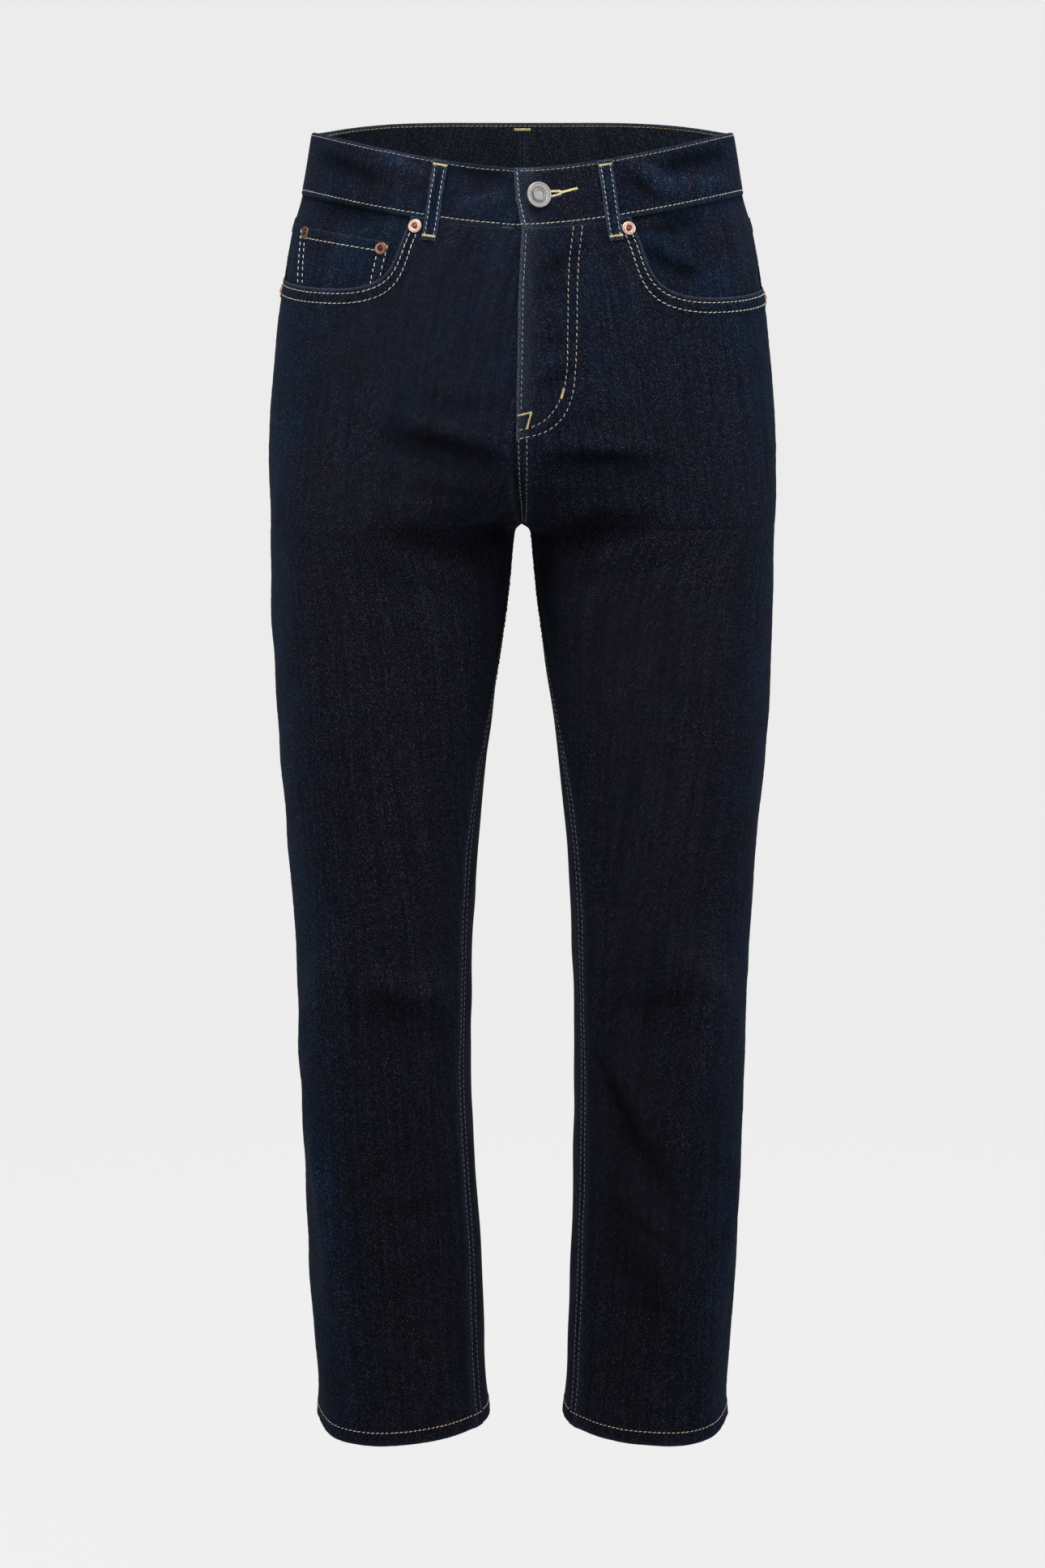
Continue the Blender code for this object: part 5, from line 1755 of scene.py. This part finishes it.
@dataclass
class PocketFacing(SewnPiece):
    """The denim that shows in a front pocket's mouth, behind the front."""

    side: int = 1
    front: FrontPanel | None = None
    under: float = 14 * MM
    sunk: float = 1.6 * MM
    level_at_side: float = 1.5 * MM
    slot: str = "denim_upper"
    deep: float = 2.4 * MM
    evenly_faded: float = 0.75

    def patches(self) -> list[Patch]:
        """From the waistband down the outseam, and round behind the mouth."""
        behind = self.front.mouth(self.under)
        start = (behind[0][0], 45 * MM)
        return [Patch(self.side, [(-0.0004, 45 * MM), (-0.0004, behind[-1][1]), *behind[-2:0:-1], start])]

    def outer(self, side: int, u: Array, drop: Array) -> Array:
        """Below the front, and level with it at the outseam above the mouth."""
        outseam = np.abs(self.form.across(u, drop))
        level = fall(outseam, 6 * MM, 24 * MM) * fall(drop, 0.094, 0.106)
        return self.level_at_side * level - self.sunk

    def wear(self, side: int, u: Array, drop: Array, edge: Array) -> Array:
        """Hardly rubbed."""
        return np.zeros(len(u))


@dataclass
class CoinPocket(SewnPiece):
    """The small pocket on the right facing, whose foot passes behind the mouth's edge."""

    side: int = -1
    front: FrontPanel | None = None
    top: tuple = ((126 * MM, 67.4 * MM), (36 * MM, 67.6 * MM))  # its upper corners: from the outseam, drop
    taper: float = 9 * MM
    feet: Pair = (94 * MM, 109.5 * MM)  # how low its inner and its outer rows go
    behind: float = 5 * MM
    hem_raised: float = 0.25 * MM
    sunk: float = 0.55 * MM
    inner_rows: Pair = (1.6 * MM, 8.2 * MM)
    outer_rows: Pair = (2.0 * MM, 8.6 * MM)
    rounding: Triple = (0.35 * MM, 0.0, 1.6 * MM)
    spacing: float = 2.6 * MM
    slot: str = "denim_upper"
    evenly_faded: float = 0.9
    inner_at: float = -1.45 * MM

    def patches(self) -> list[Patch]:
        """From its top edge down to a little behind the mouth."""
        form = self.form
        (inner, inner_drop), (outer, outer_drop) = self.top
        low = []
        for u, drop in self.front.mouth(self.behind):
            away = -u * float(form.arc(-1, drop))
            if outer + self.taper < away < inner - 1 * MM and drop > inner_drop + 20 * MM:
                low.append((u, drop))
        corners = [form.from_outseam(inner, inner_drop), *low, form.from_outseam(outer, outer_drop)]
        return [Patch(self.side, corners)]

    def outer(self, side: int, u: Array, drop: Array) -> Array:
        """On the facing, sinking where it passes behind the mouth's edge."""
        form = self.form
        flat = form.to_flat(np.stack([u, drop], axis=1))
        mouth = form.to_flat(np.array(self.front.mouth(0.0)))
        away = distance_to(flat, segments_of(mouth))
        loop = form.to_flat(np.array([form.from_outseam(*corner) for corner in self.top]))
        hem = self.hem_raised * fall(distance_to(flat, segments_of(loop)), 9 * MM, 10.5 * MM)
        inside = within(flat, np.concatenate([mouth, form.to_flat(np.array([(0.0, 0.046)]))]))
        sink = np.where(inside, fall(away, 0.4 * MM, 5 * MM), 1.0)
        return 0.05 * MM + hem - self.sunk * sink

    def _side_line(self, which: int, inwards: float) -> Array:
        """A line beside the pocket's inner side (which 0) or outer side (1)."""
        form = self.form
        (inner, inner_drop), (outer, outer_drop) = self.top
        if which == 0:
            ends = [(inner - inwards, inner_drop + 1.5 * MM), (inner - inwards, self.feet[0] + inwards * 1.2)]
        else:
            ends = [(outer + inwards, outer_drop + 1.5 * MM), (outer + inwards + self.taper, self.feet[1])]
        return dense(form, [form.from_outseam(*end) for end in ends])

    def rows(self) -> list[Row]:
        """A row across its top and two down each side."""
        form, side = self.form, self.side
        (inner, inner_drop), (outer, outer_drop) = self.top
        ends = [(inner - 1 * MM, inner_drop + 8.0 * MM), (outer + 2.6 * MM, outer_drop + 8.0 * MM)]
        line = dense(form, [form.from_outseam(*end) for end in ends])
        rows = [Row(side, line, Thread.PALE_YELLOW, 4.2 * MM, 0.78, 0.27 * MM)]
        for which, ways in enumerate((self.inner_rows, self.outer_rows)):
            lines = [self._side_line(which, inwards) for inwards in ways]
            rows += [Row(side, line, Thread.CHALK, 4.2 * MM, 0.62, 0.25 * MM) for line in lines]
        return rows


@dataclass
class FlyShield(SewnPiece):
    """The shield behind the fly, with a round lower corner on the wearer's left."""

    widths: tuple = ((-1, 25 * MM), (1, 36 * MM))
    end: float = 216 * MM
    corner: float = 30 * MM
    height: float = -2.75 * MM

    def patches(self) -> list[Patch]:
        """One patch on each side of the middle, which run into each other."""
        form, widest = self.form, self.widths[1][1]
        found = []
        for side, width in self.widths:
            outline = [(-1, 45 * MM), form.from_middle(width, 45 * MM)]
            for angle in np.linspace(0, math.pi / 2, 12):
                across = width - self.corner * (1 - math.cos(angle)) * width / widest
                outline.append(form.from_middle(across, self.end - self.corner * (1 - math.sin(angle))))
            found.append(Patch(side, [*outline, (-1, self.end)]))
        return found

    def outer(self, side: int, u: Array, drop: Array) -> Array:
        """Behind both fronts."""
        return np.full(len(u), self.height)


@dataclass
class Waistband(SewnPiece):
    """The waistband in one strip, whose left end laps over the right one at the button."""

    height: float = 46 * MM
    above: float = 0.9 * MM
    below: float = -1.9 * MM
    underlap: float = 40 * MM
    sink: float = 3.1 * MM
    lap_edge: tuple = ((0.0, 6.6 * MM), (0.023, 4.8 * MM), (46 * MM, 0.5 * MM))
    button_at: Pair = (11.7 * MM, 20.6 * MM)  # from the middle, drop
    eye: float = 3.4 * MM
    slit: Pair = (26.9 * MM, 20.0 * MM)  # the end of the buttonhole
    tack_end: Pair = (39.4 * MM, 18.3 * MM)
    loose_end: tuple[Pair, Pair] = ((62.0 * MM, 39.6 * MM), (63.4 * MM, 42.0 * MM))
    rounding: Triple = (1.15 * MM, 1.15 * MM, 2.0 * MM)
    rows_at: tuple = (2.4 * MM, 42.4 * MM)
    spacing: float = 2.3 * MM
    slot: str = "denim_upper"
    deep: float = 2.1 * MM
    rests_on: tuple[str, ...] = ("back_left_cloth", "back_right_cloth")

    def buttonhole(self, further: float = 0.0) -> list[Pair]:
        """The keyhole cut for the button, or a line round it."""
        form = self.form
        x, y = self.button_at
        end, level = self.slit
        points = []
        for angle in np.linspace(0.62, math.tau - 0.62, 22):
            points.append((x + (self.eye + further) * math.cos(angle), y + (self.eye + further) * math.sin(angle)))
        half = 0.35 * MM + further
        points += [(end, level - half), (end + further + 0.3 * MM, level), (end, level + half)]
        return [form.from_middle(*point) for point in points]

    def patches(self) -> list[Patch]:
        """The left half with the buttonhole, and the right half with the underlap."""
        form = self.form
        over = [form.from_middle(-past, drop) for drop, past in self.lap_edge]
        under = [form.from_middle(-self.underlap, drop) for drop in (0.0, self.height)]
        ends = [(1, self.height), (1, 0.0)]
        return [Patch(1, [*over, *ends], [self.buttonhole()]), Patch(-1, [*under, *ends])]

    def _sunk(self, side: int, u: Array, drop: Array) -> Array:
        """How far the underlap, on the wearer's right, drops behind the overlap."""
        before = (1 + u) * self.form.arc(-1, drop)
        return self.sink * fall(before, 8 * MM, 19 * MM) if side < 0 else np.zeros(len(u))

    def outer(self, side: int, u: Array, drop: Array) -> Array:
        """Above the panels, slightly uneven between its rows of stitches."""
        along = self.form.across(u, drop)
        wave = self.puckers(along, 71 + side) * 0.10 * MM
        soft = 0.28 * MM * np.sin(along / (23 * MM) + 1.3 * side) * np.sin(math.pi * drop / self.height)
        between = np.sin(math.pi * np.clip(drop / self.height, 0, 1)) ** 0.5
        return self.above - self._sunk(side, u, drop) + wave * (1.3 - between) + soft

    def inner(self, side: int, u: Array, drop: Array) -> Array:
        """Its inner face, behind the panels."""
        return np.full(len(u), self.below) - self._sunk(side, u, drop)

    def rows(self) -> list[Row]:
        """A row along each edge, seen on both faces, and one down the overlap's edge."""
        form = self.form
        rows = []
        threads = ((Thread.OLIVE, Thread.TAN_BROWN), (Thread.CREAM, Thread.TAN))
        for drop, (thread, back) in zip(self.rows_at, threads):
            for side in WEARER:
                start = form.from_middle(1.2 * MM if side < 0 else -2.2 * MM, drop)[0]
                path = dense(form, [(start, drop), (1, drop)])
                rows.append(Row(side, path, thread, 3.7 * MM, 0.74, 0.27 * MM))
                rows.append(Row(side, path, back, 3.7 * MM, 0.76, inside=True))
        edge = [form.from_middle(2.6 * MM - past, drop) for drop, past in self.lap_edge]
        edge[0], edge[-1] = (edge[0][0], self.rows_at[0]), (edge[-1][0], self.rows_at[1])
        rows.append(Row(1, dense(form, edge), Thread.WHITISH, 3.7 * MM, 0.70, 0.26 * MM))
        purl = self.buttonhole(0.8 * MM)
        purl = dense(form, [*purl, purl[0]], FINE_STEP)
        rows.append(Row(1, purl, Thread.PURL, 0.56 * MM, 3.1, 0.27 * MM, 1.35))
        tail = dense(form, [form.from_middle(*end) for end in self.loose_end], FINE_STEP)
        rows.append(Row(1, tail, Thread.WHITISH, 2.6 * MM, 1.1, 0.42 * MM))
        return rows

    def bartacks(self) -> list[Bartack]:
        """The buttonhole's tail, and what shows inside of the centre back loop's end."""
        tail_from = self.form.from_middle(self.slit[0] + 0.4 * MM, 20.0 * MM)
        tail = Bartack(1, (tail_from, self.form.from_middle(*self.tack_end)), 1.8 * MM, Thread.PURL)
        ends = ((1 - 6 * MM / float(self.form.arc(1, 5 * MM)), 5 * MM), (1.0, 5 * MM))
        return [tail, *(Bartack(side, ends, 2.2 * MM, inside=True) for side in WEARER)]

    def wear(self, side: int, u: Array, drop: Array, edge: Array) -> Array:
        """Rubbed along its edges, and most of all at the overlap's end."""
        overlap = np.exp(-(((1 + u) * self.form.arc(-1, drop) / (11 * MM)) ** 2)) * (side > 0)
        return (0.28 + 0.70 * overlap) * np.exp(-((edge / (2.4 * MM)) ** 2)) + 0.30 * overlap

    def fade(self, side: int, u: Array, drop: Array) -> Array:
        """Faded all over, less so round the button."""
        button = ramp(-u, 0.70, 0.74) * (side > 0)
        return 0.66 - 0.32 * button


@dataclass
class BeltLoop(SewnPiece):
    """A belt loop, a flat strip over the waistband that bulges off it."""

    side: int = 1
    u_top: float = 0.0
    u_end: float = 0.0
    width: float = 10.5 * MM
    top: float = 0.6 * MM
    end: float = 62 * MM
    thickness: float = 1.6 * MM
    bulge: float = 1.4 * MM
    rounding: Triple = (0.75 * MM, 0.45 * MM, 1.5 * MM)
    spacing: float = 1.7 * MM
    groove: float = 0.22 * MM
    slot: str = "denim_upper"
    evenly_faded: float = 1.15
    cut_length: float = 68 * MM
    row_at: float = 0.62  # of half its width from its middle line
    tack_to: float = 0.88
    tacks_at: Pair = (4.2 * MM, 58.6 * MM)

    def _sides(self) -> tuple[int, ...]:
        """The sides that it lies on."""
        return (self.side,) if self.side else tuple(WEARER)

    def _edge(self, way: float, drop: float) -> Pair:
        """The place at a share of half the loop's width from its middle line."""
        u = self.u_top + (self.u_end - self.u_top) * drop / self.end
        return u + way * self.width / 2 / float(self.form.arc(1 if self.u_top > 0 else -1, drop)), drop

    def patches(self) -> list[Patch]:
        """The strip, in two halves where it lies across the middle."""
        right = 1.0 if self.side else 0.0
        drops = np.linspace(self.top, self.end, 20)
        left_line = [self._edge(-1.0, drop) for drop in drops]
        right_line = [self._edge(right, drop) for drop in drops[::-1]]
        return [Patch(side, [*left_line, *right_line]) for side in self._sides()]

    def cut_size(self, area: float) -> Pair:
        """The strip's width and length."""
        return self.width + 0.3 * MM, self.cut_length

    def inner(self, side: int, u: Array, drop: Array) -> Array:
        """Over the waistband, then down to the panel."""
        off_band = ramp(drop, 46.5 * MM, 52 * MM)
        bulge = self.bulge * np.sin(math.pi * np.clip(drop / (47 * MM), 0, 1)) ** 2
        return 0.25 * MM + 0.95 * MM * (1 - off_band) + bulge

    def outer(self, side: int, u: Array, drop: Array) -> Array:
        """One folded strip above that, a little hollow between its two rows."""
        middle = self.u_top + (self.u_end - self.u_top) * drop / self.end
        across = np.abs(u - middle) * self.form.arc(1 if self.u_top > 0 else -1, drop)
        rise = 0.18 * MM * np.cos(math.pi * across / (self.width / 2))
        return self.inner(side, u, drop) + self.thickness - 0.1 * MM + rise

    def rows(self) -> list[Row]:
        """Two rows along it."""
        rows = []
        for side in self._sides():
            for way in (-self.row_at, self.row_at) if self.side else (-self.row_at,):
                path = [self._edge(way, drop) for drop in np.linspace(3 * MM, 59 * MM, 40)]
                rows.append(Row(side, np.array(path), Thread.WHITISH, 3.6 * MM, 0.70, 0.26 * MM))
        return rows

    def bartacks(self) -> list[Bartack]:
        """One across each end."""
        found = []
        right = self.tack_to if self.side else 0.0
        for side in self._sides():
            for drop in self.tacks_at:
                ends = (self._edge(-self.tack_to, drop), self._edge(right, drop))
                found.append(Bartack(side, ends, 1.6 * MM))
        return found

    def wear(self, side: int, u: Array, drop: Array, edge: Array) -> Array:
        """Rubbed along its edges, and at its top fold."""
        return np.maximum(0.9 * np.exp(-((edge / (1.3 * MM)) ** 2)), 0.6 * np.exp(-drop / (3 * MM)))


@dataclass
class Hardware:
    """A turned metal piece that stands on the cloth.

    Attributes:
        form: the form that it stands on.
        node: the frame's node that it stands for.
        side: the side of the garment.
        place: where its middle is, as (u, drop).
        height: how far its foot stands off the cloth's face.
        finish: its finish.
        slot: not used.
        radius: how big it is.
        foot: how high its rim is.
        edges: how many sides it is turned in.
        rings: its face from the rim inwards, as steps inwards and up, in mm.
        hollows: the stretches of radius where tarnish gathers, in mm, and how much of it.
        post: how long the post behind it is.
        lean: how far it leans towards the wearer's left, in radians.
    """

    form: JeansForm
    node: str
    side: int
    place: Pair
    height: float = 0.0
    finish: str = "copper"
    slot: str = "copper"
    radius: float = 5.0 * MM
    foot: float = 0.55 * MM
    edges: int = 28
    rings: tuple = (
        (0.25, 0.22), (0.30, 0.10), (1.35, 0.02), (0.60, -0.06), (0.30, -0.20), (0.35, 0), (0.25, 0.40), (0.40, 0.30),
        (0.55, 0.15),
    )
    hollows: tuple = ((1.7, 2.35, 1.0), (0, 1.65, 0.75), (4.9, 5.2, 0.7))
    post: float = 0.0
    lean: float = 0.0
    back_bevel: float = 0.35 * MM
    post_radius: float = 2.4 * MM

    def make(self, finishes: dict[str, Material]) -> None:
        """Models the piece, stands it in its place and hides the frame's part that it stands for.

        Args:
            finishes: the metal finishes by name.
        """
        sizes = {"radius": self.radius, "depth": self.foot, "location": (0.0, 0.0, self.foot / 2)}
        bench = Bench(self.node + "_turned", bpy.ops.mesh.primitive_cylinder_add, vertices=self.edges, **sizes)
        bpy.ops.object.transform_apply(location=True)
        bench.pick(lambda middle, normal: normal.z > 0.9)
        for inwards, up in self.rings:
            bench.ring(inwards * MM, up * MM)
        bench.pick(lambda middle, normal: normal.z < -0.9)
        bench.ring(self.back_bevel, -0.12 * MM)
        if self.post:
            bench.ring(self.radius - self.back_bevel - self.post_radius, -0.2 * MM)
            bench.extrude((0.0, 0.0, -self.post))
        piece = bench.finish()
        mesh = piece.data
        points = np.array([tuple(vertex.co) for vertex in mesh.vertices])
        out = np.hypot(points[:, 0], points[:, 1]) / MM
        hollow = np.zeros(len(out))
        for low, high, tarnish in self.hollows:
            hollow = np.maximum(hollow, ((out >= low) & (out <= high)) * tarnish)
        set_attribute(mesh, "hollow", np.where(points[:, 2] < self.foot * 0.5, 1.0, hollow))
        base, outward = self.form.place(self.side, np.array([self.place[0]]), np.array([self.place[1]]))
        turn = Vector(outward[0]).to_track_quat("Z", "Y").to_matrix().to_4x4()
        turn = Matrix.Rotation(self.lean, 4, "Z") @ turn
        mesh.transform(Matrix.Translation(Vector(base[0] + outward[0] * self.height)) @ turn)
        mesh.shade_smooth()
        mesh.set_sharp_from_angle(angle=math.radians(50))
        mesh.materials.append(finishes[self.finish])
        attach(piece, "root")
        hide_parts(self.node)
        log.info("%s: %d faces", piece.name, len(mesh.polygons))


@dataclass
class Studio:
    """The pale floor and backdrop, the lights and the camera."""

    floor: float = -1.32
    depth: float = 7.0
    wall: float = 9.0
    curve: float = 3.0
    lens: float = 88.366
    eye: Triple = (0.0, -2.9, -0.13778)
    looks_at: Triple = (0.0, 0.0, -0.48778)
    # name, size, power, where, what it points at, colour
    lights: tuple = (
        ("box_right", 1.5, 33.5, (-2.1, -0.9, 0.4), (0.0, 0.0, -0.45), (0.74, 0.87, 1.0)),
        ("box_left", 1.5, 45.0, (2.1, -0.9, 0.4), (0.0, 0.0, -0.45), (0.74, 0.87, 1.0)),
        ("top", 0.9, 56.0, (-0.2, -1.0, 1.5), (0.0, 0.0, -0.25), (1.0, 0.99, 0.97)),
        ("back", 1.6, 44.0, (0.3, 1.9, 1.4), (0.0, 0.0, -0.3), (1.0, 1.0, 1.0)),
    )
    sky: Triple = (0.20, 0.20, 0.20)

    def build(self) -> None:
        """Sets up the floor, the backdrop, the lights, the sky and the camera."""
        self._backdrop()
        for name, size, power, where, at, colour in self.lights:
            light = bpy.data.lights.new(name, "AREA")
            light.shape, light.size, light.energy, light.color = "DISK", size, power, colour
            lamp = bpy.data.objects.new(name, light)
            lamp.location = where
            lamp.rotation_euler = (Vector(at) - Vector(where)).to_track_quat("-Z", "Y").to_euler()
            bpy.context.scene.collection.objects.link(lamp)
        sky = bpy.data.worlds.new("studio")
        sky.use_nodes = True
        sky.node_tree.nodes["Background"].inputs["Color"].default_value = (*self.sky, 1.0)
        bpy.context.scene.world = sky
        bpy.context.scene.view_settings.view_transform = "Standard"
        camera = bpy.data.cameras.new("camera")
        camera.lens, camera.sensor_width, camera.sensor_fit = self.lens, 36.0, "AUTO"
        eye = bpy.data.objects.new("camera", camera)
        eye.location = self.eye
        eye.rotation_euler = (Vector(self.looks_at) - Vector(self.eye)).to_track_quat("-Z", "Y").to_euler()
        bpy.context.scene.collection.objects.link(eye)
        bpy.context.scene.camera = eye

    def _backdrop(self) -> None:
        """A wide pale floor that curves up into a wall behind."""
        behind, low = self.depth - 0.01, self.floor + 0.01
        place = (0.0, 0.0, self.floor)
        bench = Bench("backdrop", bpy.ops.mesh.primitive_plane_add, size=2 * self.depth, location=place)
        bpy.ops.object.transform_apply(location=True)
        bench.pick(lambda a, b: min(a.y, b.y) > behind, "EDGE")
        bench.extrude((0.0, 0.0, self.wall))
        bench.pick(lambda a, b: min(a.y, b.y) > behind and max(a.z, b.z) < low, "EDGE")
        bpy.ops.mesh.bevel(offset=self.curve, segments=24, affect="EDGES")
        backdrop = bench.finish()
        backdrop.data.shade_smooth()
        backdrop.data.materials.append(StageFinish().make())


RIVETS = (  # node, side, from the outseam, drop, how far the cloth under it is raised, radius, in mm, finish
    ("rivet_mouth_right", -1, 139, 52.5, 0.72, 5.0, "copper"),
    ("rivet_mouth_left", 1, 140.5, 54, 0.72, 5.0, "copper"),
    ("rivet_side_right", -1, 11, 116.5, 0.72, 5.0, "copper"),
    ("rivet_side_left", 1, 9, 121.5, 0.72, 5.0, "copper"),
    ("rivet_coin_outer", -1, 45.8, 71.8, 0.2, 4.6, "old_copper"),
    ("rivet_coin_inner", -1, 120.2, 73.4, 0.2, 4.6, "old_copper"),
)
LOOPS = (  # node, side (0 across the middle), u at the waist's edge, u at the lower end
    ("belt_loop_front_right", -1, -0.712, -0.690),
    ("belt_loop_front_left", 1, -0.712, -0.690),
    ("belt_loop_back_right", -1, 0.300, 0.290),
    ("belt_loop_back_left", 1, 0.300, 0.290),
    ("belt_loop_centre_back", 0, 1.0, 1.0),
)
BUTTON_RINGS = (  # steps inwards and up, in mm
    (0.35, 0.22), (0.35, 0.08), (0.35, -0.02), (0.30, -0.14), (0.30, -0.01), (3.05, 0.05), (0.25, 0.20), (0.25, 0.05),
    (0.25, -0.05), (0.25, -0.20), (0.90, 0), (1.40, 0.03),
)


def make_finishes() -> dict[str, Material]:
    """Every finish, by its name."""
    reverse = {"body": (0.0040, 0.0046, 0.0070), "faded": (0.0050, 0.0058, 0.0095), "weft": (0.095, 0.100, 0.110)}
    made = [
        DenimFinish("denim"),
        DenimFinish("denim_reverse", **reverse, weft_share=1.15),
        ThreadFinish(),
        MetalFinish("copper", (0.60, 0.37, 0.28), (0.10, 0.030, 0.014), 0.40, 0.8),
        MetalFinish("old_copper", (0.19, 0.088, 0.055), (0.04, 0.014, 0.008), 0.34, 0.85),
        MetalFinish("silver", (0.29, 0.265, 0.24), (0.085, 0.074, 0.065), 0.46, 0.6),
    ]
    return {finish.name: finish.make() for finish in made}


def cut_pieces(form: JeansForm) -> list[SewnPiece]:
    """Every piece of cloth, in the order in which they are sewn.

    Args:
        form: the form that they are sewn on.

    Returns:
        The pieces.
    """
    pieces, fronts = [], {}
    for side, wearer in WEARER.items():
        fronts[side] = FrontPanel(form, f"front_{wearer}", side=side)
        back = BackPanel(form, f"back_{wearer}", side=side)
        pieces += [
            fronts[side],
            back,
            Yoke(form, f"yoke_{wearer}", side=side),
            BackPocket(form, f"back_pocket_{wearer}", side=side, rests_on=(back.name,)),
            PocketFacing(form, f"pocket_facing_{wearer}", side=side, front=fronts[side]),
        ]
    pieces += [
        CoinPocket(form, "coin_pocket", front=fronts[-1], rests_on=("pocket_facing_right_cloth",)),
        FlyShield(form, "fly_shield", joined_at=-1),
        Waistband(form, "waistband", joined_at=1),
    ]
    for node, side, u_top, u_end in LOOPS:
        pieces.append(BeltLoop(form, node, joined_at=None if side else 1, side=side, u_top=u_top, u_end=u_end))
    return pieces


def turned_pieces(form: JeansForm) -> list[Hardware]:
    """The rivets and the button.

    Args:
        form: the form that they stand on.

    Returns:
        The pieces.
    """
    pieces = []
    for node, side, away, drop, raised, radius, finish in RIVETS:
        place = form.from_outseam(away * MM, drop * MM)
        pieces.append(Hardware(form, node, side, place, raised * MM, finish, radius=radius * MM))
    button = Hardware(
        form, "button", 1, form.from_middle(*Waistband.button_at), 3.3 * MM, "silver", "antique_silver", 9.2 * MM,
        foot=0.9 * MM, edges=56, rings=BUTTON_RINGS, hollows=((7.7, 7.9, 0.6), (4.3, 4.55, 0.8), (3.3, 3.55, 0.8)),
        post=4.6 * MM, lean=math.radians(20),
    )
    return [*pieces, button]


def main() -> None:
    """Dresses the frame: the cloth with its stitching, the metal, and the studio round them."""
    logging.basicConfig(level=logging.INFO, format="%(name)s: %(message)s")
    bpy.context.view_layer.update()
    form = JeansForm()
    finishes = make_finishes()
    tailor = Tailor(form, finishes)
    for piece in cut_pieces(form):
        tailor.sew(piece)
    for piece in turned_pieces(form):
        piece.make(finishes)
    Studio().build()


if __name__ == "__main__":
    main()
